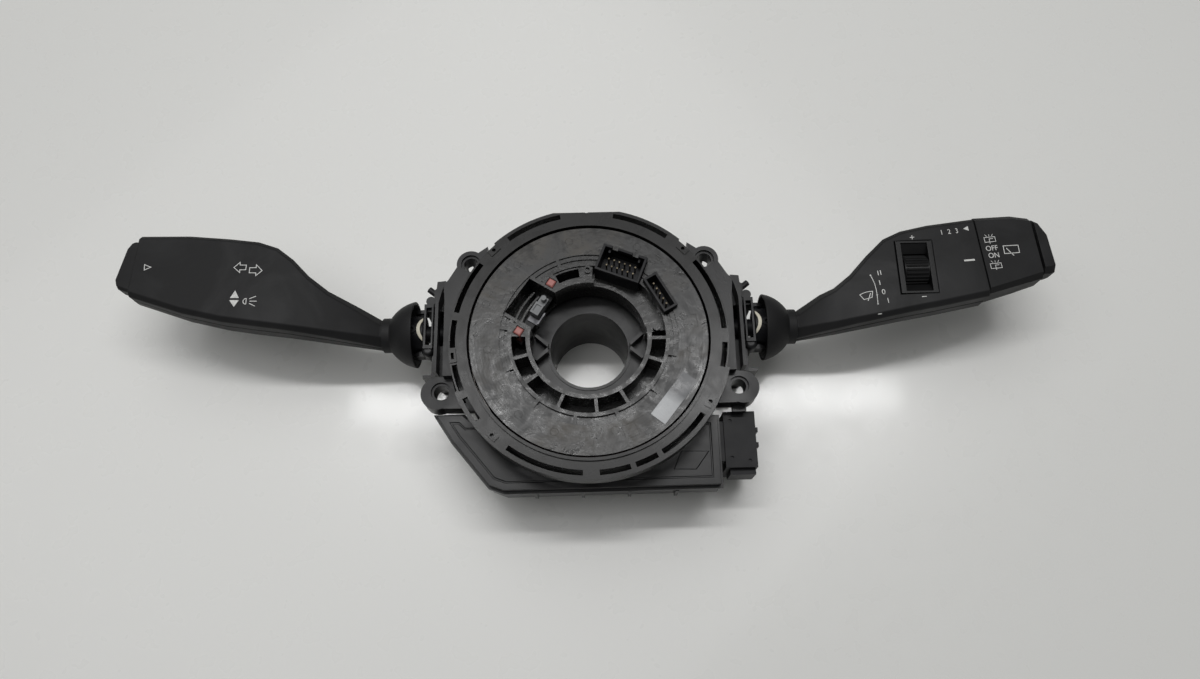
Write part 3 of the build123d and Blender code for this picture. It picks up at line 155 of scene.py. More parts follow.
NUMBERS_ALONG = (157.6, 161.0, 164.4)
NUMBERS_ACROSS = 48.6
NUMBERS_SLOPE = 0.087
WIPER_POINTER = [(167.4, 49.9), (169.6, 51.2), (169.8, 48.9)]
PLUS_AND_MINUS = (
    [(143.3, 46.4), (145.3, 46.5)],
    [(144.3, 45.5), (144.3, 47.4)],
    [(144.9, 18.2), (146.9, 18.3)],
)
RING_INDEX = [(165.6, 34.6), (170.3, 34.9)]
RING_INDEX_WIDTH = 0.8
SPEED_TICKS = ((127.9, 30.6), (129.0, 30.7), (128.1, 26.1))
TICK_HALF = (0.09, 1.1)         # from the middle of a tick to its end
ZERO_PLACE = (129.2, 21.5)
ONE_PLACE = (130.6, 17.3)
SPEED_SCALE = [(124.7, 29.9), (125.4, 27.9), (126.0, 25.6), (126.3, 23.0), (126.4, 20.5), (126.3, 16.3)]
SPEED_SCALE_WIDTH = 0.28
SPEED_STOPS = (0, -2, -1)       # points of the scale that carry a diamond
DIAMOND = 0.42                  # from the middle of a diamond to its corners
STEM = [(125.9, 11.7), (127.5, 11.8)]
OFF_PLACE = (178.6, 40.1)
ON_PLACE = (179.0, 36.7)

# strokes of a mark before it is scaled: (points, closed, width of the line in mm)
SCREEN_TOP = [(-1.0 + 0.25 * i, 0.62 + 0.16 * math.sin(math.pi * i / 8)) for i in range(9)]
WIPER = (
    (SCREEN_TOP + [(0.62, -0.36), (-0.62, -0.36)], True, 0.3),
    ([(-0.1, -0.75), (0.62, 0.42)], False, 0.34),
)
REAR_WIPER = (
    ([(-1.12, -0.58), (1.05, -0.62), (1.12, 0.52), (-1.05, 0.62)], True, 0.34),
    ([(0.15, -1.0), (-0.68, 0.22)], False, 0.36),
)
WASHER = (
    ([(-0.9, -0.5), (0.9, -0.5), (0.9, 0.35), (-0.9, 0.35)], True, 0.26),
    ([(-0.1, -0.8), (-0.1, 0.05), (0.55, 0.05)], False, 0.26),
    *(([(k * 0.8, 0.5), (k * 1.3, 0.86)], False, 0.22) for k in (-0.5, 0.0, 0.5)),
)
# (strokes, place, turn in degrees, scale)
STALK_MARK = (WIPER, (122.4, 20.2), 10, 2.7)
RING_MARKS = (
    (WASHER, (178.4, 44.6), LETTER_TURN, 2.7),
    (WASHER, (179.2, 32.0), LETTER_TURN, 2.7),
    (REAR_WIPER, (187.2, 39.6), LETTER_TURN, 3.1),
)

# ---- stage, in metres
TABLE_SIDE = 2.6
LAMPS = (                       # (name, place, aimed at, width, depth, power in watts)
    ("overhead", (-0.35, 0.38, 1.6), (0, 0.02, 0), 2.2, 1.7, 13.4),
    ("strip", (0.052, 0.298, 1.2), (0.052, 0.0, 0), 1.02, 0.06, 4.6),
)
ROOM_TONE = (0.80, 0.81, 0.80, 1)
BACKDROP_TONE = (0.60, 0.60, 0.58, 1)
CAMERA_PLACE = (0.00474, -0.11837, 0.41245)
CAMERA_TILT = 18.4              # degrees from looking straight down
CAMERA_ROLL = 1.3               # degrees
SENSOR_WIDTH = 36.0             # mm
LENS = 26.7                     # mm
NEAREST = 0.01
FARTHEST = 20.0


# ==== sizes and colours a user would change ===============================
def length(name, description, default, low=0.0):
    return bpy.props.FloatProperty(name=name, description=description, default=default, min=low,
                                   subtype="DISTANCE", unit="LENGTH", precision=5)


def colour(name, description, default):
    return bpy.props.FloatVectorProperty(name=name, description=description, default=default, size=3,
                                         min=0.0, max=1.0, subtype="COLOR")


class SwitchSizes(bpy.types.PropertyGroup):
    edge_break: length("Edge break", "Radius on the edges of the moulded housings", 0.25 * MM)
    stalk_break: length("Stalk edge", "Radius on the edges of the stalk shells", 0.9 * MM)
    print_rise: length("Print thickness", "Height of the printed marks above the skin", 0.04 * MM)
    print_stroke: length("Print stroke", "Width of the printed lines", 0.34 * MM)
    wheel_rib_height: length("Wheel rib height", "How far the thumbwheel's ribs stand out", 0.5 * MM)
    wheel_ribs: bpy.props.IntProperty(name="Wheel ribs", description="Ribs around the thumbwheel",
                                      default=26, min=8, max=60)
    mark_radius: length("Ejector mark", "Radius of the ejector-pin marks on the rotor", 1.6 * MM)
    room_fill: bpy.props.FloatProperty(name="Room fill", default=0.13, min=0.0, max=1.0,
                                       description="Strength of the dim light from the room")
    frame_side: length("Moulded frame", "Side of the square frames moulded on the rotor", 5.6 * MM)


class SwitchColours(bpy.types.PropertyGroup):
    frame_black: colour("Frame", "Black of the carrier and switch blocks", (0.0085, 0.0085, 0.009))
    ring_black: colour("Ring", "Black of the fixed ring", (0.0085, 0.0083, 0.0080))
    rotor_dark: colour("Rotor dark", "Darker clouds of the rotor plastic", (0.010, 0.0098, 0.0092))
    # the paler rotor colour stands for the plastic's clouds and also for a painted reflection on its upper
    # face
    rotor_cloud_sheen: colour("Rotor pale", "Paler clouds of the rotor plastic", (0.052, 0.049, 0.044))
    stalk_black: colour("Stalk", "Soft black of the stalks", (0.0105, 0.0105, 0.011))
    plug_black: colour("Plug", "Black of the plug shrouds", (0.005, 0.005, 0.006))
    print_white: colour("Print", "White of the printed marks", (0.72, 0.72, 0.70))
    cream: colour("Acetal", "Natural colour of the yokes", (0.72, 0.68, 0.56))
    pink: colour("Release pins", "Colour of the release pins", (0.36, 0.135, 0.12))
    table: colour("Table", "Colour of the table", (0.88, 0.88, 0.855))


# ==== shader maths ========================================================
class Wire:
    """A shader socket that can be used in arithmetic."""

    def __init__(self, finish, socket):
        self.finish = finish
        self.socket = socket

    def _math(self, operation, first, second=None):
        inputs = {0: first} if second is None else {0: first, 1: second}
        return self.finish.node("ShaderNodeMath", {"operation": operation}, inputs)

    def __add__(self, other):
        return self._math("ADD", self, other)

    def __radd__(self, other):
        return self._math("ADD", other, self)

    def __sub__(self, other):
        return self._math("SUBTRACT", self, other)

    def __rsub__(self, other):
        return self._math("SUBTRACT", other, self)

    def __mul__(self, other):
        return self._math("MULTIPLY", self, other)

    def __rmul__(self, other):
        return self._math("MULTIPLY", other, self)

    def __pow__(self, other):
        return self._math("POWER", self, other)

    def __rpow__(self, other):
        return self._math("POWER", other, self)

    def __gt__(self, other):
        return self._math("GREATER_THAN", self, other)

    def __lt__(self, other):
        return self._math("LESS_THAN", self, other)

    def sine(self):
        return self._math("SINE", self)


class Finish:
    """One procedural material, built node by node."""

    def __init__(self, name):
        self.material = bpy.data.materials.new(name)
        self.material.use_nodes = True
        self.tree = self.material.node_tree
        self.tree.nodes.clear()
        self.output = self.tree.nodes.new("ShaderNodeOutputMaterial")
        self.shader = self.tree.nodes.new("ShaderNodeBsdfPrincipled")
        self.tree.links.new(self.shader.outputs[0], self.output.inputs[0])
        self.place = self.node("ShaderNodeTexCoord", {}, {}, "Object")

    def node(self, kind, settings, inputs, out=0):
        made = self.tree.nodes.new(kind)
        for key, value in settings.items():
            setattr(made, key, value)
        for key, value in inputs.items():
            self.feed(made.inputs[key], value)
        return Wire(self, made.outputs[out])

    def feed(self, socket, value):
        if isinstance(value, Wire):
            self.tree.links.new(value.socket, socket)
        elif socket.type == "RGBA" and len(value) == 3:
            socket.default_value = (*value, 1.0)
        else:
            socket.default_value = value

    def noise(self, scale, detail=3.0, roughness=0.5, warp=0.0, place=None):
        return self.node("ShaderNodeTexNoise", {"noise_dimensions": "3D"},
                         {"Vector": place or self.place, "Scale": scale, "Detail": detail,
                          "Roughness": roughness, "Distortion": warp})

    def spread(self, value, low, high, to_low=0.0, to_high=1.0):
        return self.node("ShaderNodeMapRange", {"clamp": True},
                         {"Value": value, "From Min": low, "From Max": high,
                          "To Min": to_low, "To Max": to_high})

    def stretched(self, x, y, z):
        return self.node("ShaderNodeMapping", {}, {"Vector": self.place, "Scale": (x, y, z)})

    def mix(self, factor, a, b):
        return self.node("ShaderNodeMix", {"data_type": "RGBA"}, {0: factor, 6: a, 7: b}, 2)

    def bump(self, height, distance, strength, under=None):
        inputs = {"Height": height, "Distance": distance, "Strength": strength}
        if under is not None:
            inputs["Normal"] = under
        return self.node("ShaderNodeBump", {}, inputs)

    def apart(self):
        """The x, y and z of a shaded point in the object's own space."""
        split = self.node("ShaderNodeSeparateXYZ", {}, {"Vector": self.place})
        return [Wire(self, part) for part in split.socket.node.outputs]

    def set(self, **inputs):
        for name, value in inputs.items():
            self.feed(self.shader.inputs[name.replace("_", " ")], value)
        return self.material


def scaled(tone, gain):
    return [min(v * gain, 1.0) for v in tone]


def moulded(name, tone, cloud, rough_low, rough_high, grain, grain_depth, cloud_scale=70.0, shine=0.4):
    """Glass-filled moulded plastic: flow clouds, patchy sheen and a fine grain."""
    f = Finish(name)
    flow = f.noise(cloud_scale, 5.0, 0.6, 1.4)
    patch = f.noise(cloud_scale * 0.35, 3.0, 0.5, 0.6)
    fibre = f.noise(1400.0, 2.0, 0.7, 0.0, f.stretched(1.0, 0.35, 1.0))
    mottle = f.spread(flow, 0.35, 0.72) * 0.75 + f.spread(fibre, 0.45, 0.75) * 0.25
    base = f.mix(mottle, tone, cloud)
    rough = f.spread(patch * 0.6 + flow * 0.4, 0.35, 0.66, rough_low, rough_high)
    skin = f.noise(grain, 3.0, 0.6)
    wave = f.bump(patch, 0.0006, 0.25)
    return f.set(Base_Color=base, Roughness=rough, Normal=f.bump(skin, grain_depth, 0.5, wave),
                 Specular_IOR_Level=shine)


def moulding(name):
    """The finish of one row of MOULDINGS, in the colour that the user chose."""
    source, gain, cloud_gain, *rest = MOULDINGS[name]
    tone = getattr(colours(), source)
    return moulded(name, scaled(tone, gain), scaled(tone, cloud_gain), *rest)


def rotor_finish():
    """Cloudy glass-filled plastic with flow lines that swirl out from the gates. On the upper face the pale
    clouds also carry a painted reflection in warm and cool patches, and the walls, cells and hub stay darker
    as painted shade.
    """
    c = colours()
    f = Finish("rotor_plastic")
    swirl = f.noise(46.0, 6.0, 0.62, 2.6)
    fine = f.noise(190.0, 4.0, 0.6, 1.2)
    fibre = f.noise(1500.0, 2.0, 0.7, 0.4, f.stretched(1.0, 0.4, 1.0))
    cloud = f.spread(swirl * 0.62 + fine * 0.38, 0.40, 0.66)
    mottle = cloud * 0.8 + f.spread(fibre, 0.5, 0.78) * 0.2
    x, y, z = f.apart()
    radius = (x * x + y * y) ** 0.5
    turning = (radius * 5200.0).sine() * 0.5 + 0.5
    # only the upper face's outer band takes the pale clouds and painted reflection; walls, cells and hub keep
    # rotor_dark as painted shade
    face = (z > CLOUD_SHEEN_HEIGHT) * (radius > CLOUD_SHEEN_RADIUS)
    # painted reflection: warm and cool pale patches laid with the clouds on the upper face
    sheen_warmth = f.spread(f.noise(24.0, 4.0, 0.6, 1.8), 0.42, 0.60)
    cool_cloud_sheen = [v * t for v, t in zip(c.rotor_cloud_sheen, (0.55, 0.60, 0.68))]
    warm_cloud_sheen = [v * t for v, t in zip(c.rotor_cloud_sheen, (1.25, 1.12, 0.90))]
    pale = f.mix(sheen_warmth, cool_cloud_sheen, warm_cloud_sheen)
    base = f.mix(mottle * face, c.rotor_dark, pale)
    rim = (radius > RIM_RADIUS) * (z > RIM_HEIGHT)
    rough = f.spread(swirl * 0.5 + fine * 0.5, 0.38, 0.60, 0.15, 0.40)
    sheen = rough + turning * face * 0.03 - rim * 0.05
    wave = f.bump(swirl, 0.0007, 0.22)
    skin = f.bump(f.noise(1900.0, 3.0, 0.6), 0.00004, 0.4, wave)
    return f.set(Base_Color=base, Roughness=sheen, Normal=skin, Specular_IOR_Level=0.38)


def stalk_finish():
    """Spark-eroded soft black skin."""
    c = colours()
    f = Finish("stalk_skin")
    grain = f.noise(3200.0, 2.0, 0.6)
    coarse = f.noise(1150.0, 3.0, 0.65)
    wear = f.spread(f.noise(32.0, 4.0, 0.55, 0.8), 0.42, 0.70)
    base = f.mix(wear, c.stalk_black, scaled(c.stalk_black, 1.7))
    rough = f.spread(wear * 0.6 + coarse * 0.4, 0.2, 0.9, 0.62, 0.48)
    skin = f.bump(grain * 0.55 + coarse * 0.45, 0.00010, 0.55)
    return f.set(Base_Color=base, Roughness=rough, Normal=skin, Specular_IOR_Level=0.30)


def grey_finish():
    return moulded("grey_lever", (0.15, 0.155, 0.16), (0.22, 0.225, 0.23), 0.30, 0.5, 1800.0, 0.04 * MM,
                   160.0)


def metal(name):
    """Drawn or stamped metal with fine brushing and dull patches, by its row of METALS."""
    tone, dull, rough_low, rough_high = METALS[name]
    f = Finish(name)
    lines = f.noise(900.0, 3.0, 0.6, 0.0, f.stretched(1.0, 1.0, 0.1))
    patch = f.noise(260.0, 3.0, 0.5)
    base = f.mix(f.spread(patch, 0.4, 0.7), tone, dull)
    rough = f.spread(lines * 0.6 + patch * 0.4, 0.3, 0.7, rough_low, rough_high)
    return f.set(Base_Color=base, Roughness=rough, Metallic=1.0, Normal=f.bump(lines, 0.00002, 0.4))


def label_finish():
    """Blank silver-grey film, slightly wrinkled."""
    f = Finish("label_film")
    wrinkle = f.noise(120.0, 3.0, 0.5, 0.8)
    fine = f.noise(900.0, 2.0, 0.5)
    x, y, _ = f.apart()
    along = x * 0.62 + y * 0.78
    field = f.spread(along + f.noise(160.0) * 0.002, -0.0005, 0.0040, 1.0, 0.0)
    film = f.mix(f.spread(wrinkle, 0.35, 0.7), (0.018, 0.020, 0.024), (0.045, 0.048, 0.054))
    base = f.mix(field, film, (0.33, 0.34, 0.35))
    rough = f.spread(wrinkle * 0.7 + fine * 0.3, 0.3, 0.7, 0.22, 0.38)
    return f.set(Base_Color=base, Roughness=rough, Normal=f.bump(wrinkle, 0.0003, 0.25),
                 Specular_IOR_Level=0.5)


def board_finish():
    """Solder-masked laminate with faint copper tracks."""
    f = Finish("board_laminate")
    x, y, _ = f.apart()
    track = ((x * 1600.0).sine() * (y * 1300.0).sine()) > 0.35
    base = f.mix(track, (0.012, 0.075, 0.035), (0.03, 0.14, 0.07))
    return f.set(Base_Color=base, Roughness=f.spread(f.noise(300.0), 0.3, 0.7, 0.25, 0.4))


def chip_finish():
    return moulded("chip_body", (0.018, 0.018, 0.018), (0.04, 0.04, 0.04), 0.4, 0.6, 3000.0, 0.00003)


def ribbon_finish():
    """Amber film over copper strips, its colours darkened as painted shade for the gap between ring and rotor
    where it shows.
    """
    f = Finish("ribbon_film")
    _, _, z = f.apart()
    strip = (z * 5200.0).sine() > 0.1
    # painted shade: both amber tones are set dark for the shaded gap where the film shows
    base = f.mix(strip, (0.035, 0.018, 0.006), (0.085, 0.045, 0.018))
    return f.set(Base_Color=base, Roughness=f.spread(f.noise(200.0), 0.3, 0.7, 0.2, 0.36))


def print_finish():
    c = colours()
    f = Finish("print_white")
    worn = f.spread(f.noise(1500.0, 3.0, 0.6), 0.36, 0.55)
    base = f.mix(worn, scaled(c.print_white, 0.72), c.print_white)
    return f.set(Base_Color=base, Roughness=f.spread(worn, 0, 1, 0.6, 0.45))


def table_finish():
    """Glossy pale laminate table."""
    c = colours()
    f = Finish("table_laminate")
    cloud = f.noise(1.6, 3.0, 0.5)
    base = f.mix(f.spread(cloud, 0.3, 0.7), c.table, scaled(c.table, 0.965))
    fine = f.noise(90.0, 2.0, 0.5)
    return f.set(Base_Color=base, Roughness=f.spread(fine, 0.3, 0.7, 0.26, 0.32),
                 Coat_Weight=f.spread(cloud, 0.2, 0.8, 0.27, 0.34), Coat_Roughness=0.10)


MOULDINGS = {
    # slot: (colour, its gain, gain of the clouds, roughness low, high, scale and depth of the grain,
    #        scale of the clouds, shine)
    "frame_plastic": ("frame_black", 1.0, 2.0, 0.26, 0.48, 2600.0, 0.05 * MM, 70.0, 0.30),
    "ring_plastic": ("ring_black", 1.0, 1.9, 0.17, 0.38, 2200.0, 0.03 * MM, 70.0, 0.26),
    "box_plastic": ("frame_black", 1.0, 1.7, 0.24, 0.40, 2400.0, 0.04 * MM, 70.0, 0.28),
    "wheel_plastic": ("stalk_black", 0.6, 1.0, 0.26, 0.42, 2600.0, 0.03 * MM, 70.0, 0.30),
    # painted shade: a darker, duller black for the floor deep inside the hub
    "deep_black": ("ring_black", 0.5, 1.0, 0.45, 0.60, 2400.0, 0.04 * MM, 70.0, 0.08),
    "plug_plastic": ("plug_black", 1.0, 2.2, 0.34, 0.52, 2400.0, 0.04 * MM, 70.0, 0.22),
    "arm_plastic": ("plug_black", 1.0, 2.2, 0.34, 0.52, 2400.0, 0.04 * MM, 70.0, 0.22),
    "cream_acetal": ("cream", 1.0, 0.86, 0.34, 0.48, 1800.0, 0.03 * MM, 70.0, 0.40),
    "release_pink": ("pink", 1.0, 1.35, 0.34, 0.50, 1600.0, 0.04 * MM, 240.0, 0.40),
}
METALS = {
    # slot: (tone, dull tone, roughness low, high)
    "spring_steel": ((0.34, 0.34, 0.35), (0.20, 0.20, 0.21), 0.24, 0.42),
    "blackened_steel": ((0.10, 0.10, 0.105), (0.05, 0.05, 0.055), 0.34, 0.52),
    # painted shade: contact_metal's tones are set far darker than plated metal, for pins down inside their
    # plug shrouds
    "contact_metal": ((0.10, 0.085, 0.06), (0.05, 0.042, 0.03), 0.26, 0.46),
}
RECIPES = {
    "rotor_plastic": rotor_finish, "stalk_skin": stalk_finish, "grey_lever": grey_finish,
    "label_film": label_finish, "board_laminate": board_finish, "chip_body": chip_finish,
    "ribbon_film": ribbon_finish, "print_white": print_finish, "table_laminate": table_finish,
}
MADE = {}


def finish_of(name):
    """The named material, made on first use."""
    if name not in MADE:
        if name in MOULDINGS:
            MADE[name] = moulding(name)
        elif name in METALS:
            MADE[name] = metal(name)
        else:
            MADE[name] = RECIPES[name]()
    return MADE[name]


# ==== mesh helpers ========================================================
def sizes():
    return bpy.context.scene.switch_sizes


def colours():
    return bpy.context.scene.switch_colours


def paint(obj, finish):
    obj.data.materials.clear()
    obj.data.materials.append(finish_of(finish))


def dress(*nodes):
    """Gives CAD nodes that keep their own mesh the finish of their slot."""
    for node in nodes:
        obj = frame["nodes"][node]
        for slot in obj.material_slots:
            slot.material = finish_of(SLOT_OF[node])
        if not obj.material_slots:
            obj.data.materials.append(finish_of(SLOT_OF[node]))


def new_object(name, mesh):
    obj = bpy.data.objects.new(name, mesh)
    bpy.context.scene.collection.objects.link(obj)
    return obj


def evaluated(obj):
    """The depsgraph, and the object as its modifiers leave it."""
    graph = bpy.context.evaluated_depsgraph_get()
    return graph, obj.evaluated_get(graph)


def settled(obj, sharp=SHARP, weighted=False):
    """Turns an object with modifiers into a plain mesh with smooth faces and crisp edges."""
    mesh = bpy.data.meshes.new_from_object(evaluated(obj)[1])
    obj.modifiers.clear()
    obj.data = mesh
    mesh.polygons.foreach_set("use_smooth", [True] * len(mesh.polygons))
    mesh.set_sharp_from_angle(angle=math.radians(sharp))
    if weighted:
        even = obj.modifiers.new("even", "WEIGHTED_NORMAL")
        even.mode = "FACE_AREA"
        even.weight = 90
        even.keep_sharp = True
        graph, result = evaluated(obj)
        obj.data = bpy.data.meshes.new_from_object(result, preserve_all_data_layers=True, depsgraph=graph)
        obj.modifiers.clear()
    return obj


def belong(obj, body, slot, *nodes):
    """Attaches a piece to its body and hides the CAD nodes it stands for; the slot is not used."""
    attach(obj, body)
    if nodes:
        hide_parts(*nodes)
    return obj


def softened(node, width, segments=SEGMENTS, angle=BREAK_FROM, sharp=SHARP):
    """A copy of a CAD node whose edges are broken, as a moulding's are."""
    mesh = frame["nodes"][node].data.copy()
    obj = new_object(f"{node}_skin", mesh)
    bm = bmesh.new()
    bm.from_mesh(mesh)
    bmesh.ops.remove_doubles(bm, verts=bm.verts, dist=WELD)
    bmesh.ops.dissolve_limit(bm, angle_limit=math.radians(FLAT), verts=bm.verts, edges=bm.edges)
    bm.to_mesh(mesh)
    bm.free()
    bevel = obj.modifiers.new("edge", "BEVEL")
    bevel.width = width
    bevel.segments = segments
    bevel.limit_method = "ANGLE"
    bevel.angle_limit = math.radians(angle)
    bevel.use_clamp_overlap = True
    settled(obj, sharp, True)
    paint(obj, SLOT_OF[node])
    return belong(obj, BODY_OF[node], SLOT_OF[node], node)


# ==== geometry node trees =================================================
class Graph:
    """A Geometry Nodes tree with named inputs."""

    def __init__(self, name, inputs):
        self.tree = bpy.data.node_groups.new(name, "GeometryNodeTree")
        face = self.tree.interface
        face.new_socket("Geometry", in_out="INPUT", socket_type="NodeSocketGeometry")
        self.ids = {}
        for label, (kind, default) in inputs.items():
            socket = face.new_socket(label, in_out="INPUT", socket_type=kind)
            if default is not None:
                socket.default_value = default
            self.ids[label] = socket.identifier
        face.new_socket("Geometry", in_out="OUTPUT", socket_type="NodeSocketGeometry")
        self.entry = self.tree.nodes.new("NodeGroupInput")
        self.exit = self.tree.nodes.new("NodeGroupOutput")

    def node(self, kind, settings, inputs):
        made = self.tree.nodes.new(kind)
        for key, value in settings.items():
            setattr(made, key, value)
        for key, value in inputs.items():
            if isinstance(value, bpy.types.NodeSocket):
                self.tree.links.new(value, made.inputs[key])
            elif isinstance(value, list):
                for source in value:
                    self.tree.links.new(source, made.inputs[key])
            else:
                made.inputs[key].default_value = value
        return made.outputs[0]

    def given(self, label):
        return self.entry.outputs[label]

    def circle(self, sides, radius):
        return self.node("GeometryNodeCurvePrimitiveCircle", {"mode": "RADIUS"},
                         {"Resolution": sides, "Radius": radius})

    def cylinder(self, sides, radius, depth):
        return self.node("GeometryNodeMeshCylinder", {},
                         {"Vertices": sides, "Radius": radius, "Depth": depth})

    def swept(self, curve, profile, caps=False):
        return self.node("GeometryNodeCurveToMesh", {},
                         {"Curve": curve, "Profile Curve": profile, "Fill Caps": caps})

    def stamped(self, points, shape, **more):
        return self.node("GeometryNodeInstanceOnPoints", {}, {"Points": points, "Instance": shape, **more})

    def close(self, geometry):
        """Ends the tree in real geometry that carries its finish."""
        real = self.node("GeometryNodeRealizeInstances", {}, {"Geometry": geometry})
        done = self.node("GeometryNodeSetMaterial", {}, {"Geometry": real, "Material": self.given("Finish")})
        self.tree.links.new(done, self.exit.inputs[0])

    def run(self, name, mesh, values):
        """A new piece, built by this tree from the mesh and the values of its inputs."""
        obj = new_object(name, mesh)
        modifier = obj.modifiers.new("build", "NODES")
        modifier.node_group = self.tree
        for label, value in values.items():
            modifier[self.ids[label]] = value
        obj.update_tag()
        return settled(obj)


def point_mesh(points):
    mesh = bpy.data.meshes.new("points")
    mesh.from_pydata([Vector(p) for p in points], [], [])
    return mesh


# ==== pieces ==============================================================
class SWITCH_OT_housings(bpy.types.Operator):
    """Breaks the edges of the carrier, switch blocks and electronics box, and gives them their plastic"""
    bl_idname = "switch.housings"
    bl_label = "Housings"

    def execute(self, context):
        width = sizes().edge_break
        for node in ("carrier_frame", "switch_housing_left", "switch_housing_right", "electronics_housing",
                     "electronics_cover", "switch_cover_left", "switch_cover_right", "vehicle_connector"):
            softened(node, width)
        return {"FINISHED"}


class SWITCH_OT_contact_unit(bpy.types.Operator):
    """Finishes the fixed ring, the rotor with its plugs, the blank label and the flat cable"""
    bl_idname = "switch.contact_unit"
    bl_label = "Contact unit"

    def execute(self, context):
        width = sizes().edge_break
        for node in ("stator_ring", "rotor_disc"):
            softened(node, width * RING_BREAK_SHARE)
        for node in ("horn_connector", "airbag_connector"):
            softened(node, width * PLUG_BREAK_SHARE)
        # painted shade: the floor inside the hub gets the darker, duller black
        paint(frame["nodes"]["cassette_floor"], "deep_black")
        dress("ribbon_coil", "label_plate", "horn_connector_pins", "airbag_connector_pins",
              "vehicle_connector_pins")
        return {"FINISHED"}


MARK_INPUTS = {"Line": ("NodeSocketFloat", 0.00006), "Finish": ("NodeSocketMaterial", None)}


class SWITCH_OT_ejector_marks(bpy.types.Operator):
    """Raises the faint round ejector-pin marks and the square frames moulded on the rotor's face"""
    bl_idname = "switch.ejector_marks"
    bl_label = "Ejector marks"

    def execute(self, context):
        g = Graph("ejector_marks", {"Radius": ("NodeSocketFloat", 0.0016), **MARK_INPUTS})
        circle = g.circle(MARK_SIDES, g.given("Radius"))
        ring = g.swept(circle, g.circle(LINE_SIDES, g.given("Line")))
        g.close(g.stamped(g.given("Geometry"), ring))
        self.piece(g, "rotor_ejector_marks", EJECTOR_MARKS, {"Radius": sizes().mark_radius})

        g = Graph("moulded_frames", {"Side": ("NodeSocketFloat", 0.006), **MARK_INPUTS})
        outline = g.node("GeometryNodeCurvePrimitiveQuadrilateral", {"mode": "RECTANGLE"},
                         {"Width": g.given("Side"), "Height": g.given("Side")})
        raised = g.swept(outline, g.circle(LINE_SIDES, g.given("Line")))
        outward = g.node("FunctionNodeAlignRotationToVector", {"axis": "X", "pivot_axis": "Z"},
                         {"Vector": g.node("GeometryNodeInputPosition", {}, {})})
        g.close(g.stamped(g.given("Geometry"), raised, Rotation=outward))
        places = [(turn, FRAME_REACH) for turn in FRAME_TURNS]
        self.piece(g, "rotor_moulded_frames", places, {"Side": sizes().frame_side})
        return {"FINISHED"}

    def piece(self, graph, name, places, values):
        """Stamps a mark at each (turn, reach) on the rotor's face and lets it ride on the rotor."""
        points = []
        for turn, reach in places:
            a = math.radians(turn)
            points.append((reach * math.cos(a) * MM, reach * math.sin(a) * MM, ROTOR_FACE))
        obj = graph.run(name, point_mesh(points),
                        {**values, "Line": MARK_LINE, "Finish": finish_of("rotor_plastic")})
        belong(obj, "rotor", "rotor_plastic")


class SWITCH_OT_lock(bpy.types.Operator):
    """Finishes the transport lock in its pocket"""
    bl_idname = "switch.lock"
    bl_label = "Transport lock"

    def execute(self, context):
        softened("lock_pins", PIN_BREAK)
        softened("lock_lever", LEVER_BREAK)
        dress("lock_slide", "lock_spring")
        paint(frame["nodes"]["lock_leaf"], "blackened_steel")
        return {"FINISHED"}


class SWITCH_OT_stalks(bpy.types.Operator):
    """Rounds the stalk shells, twist ring, end buttons and dust caps, and gives them their skin"""
    bl_idname = "switch.stalks"
    bl_label = "Stalks"

    def execute(self, context):
        width = sizes().stalk_break
        shells = ("stalk_left_front", "stalk_left_rear", "stalk_right_front", "stalk_right_rear", "ring_knob")
        for node in shells:
            softened(node, width, STALK_SEGMENTS, STALK_BREAK_FROM, STALK_SHARP)
        for node in ("button_left", "button_right"):
            softened(node, width * BUTTON_BREAK_SHARE, STALK_SEGMENTS, STALK_BREAK_FROM, STALK_SHARP)
        for node in ("dust_cap_left", "dust_cap_right"):
            softened(node, CAP_BREAK, SEGMENTS, CAP_BREAK_FROM, STALK_SHARP)
        softened("wheel_bezel", BEZEL_BREAK)
        return {"FINISHED"}


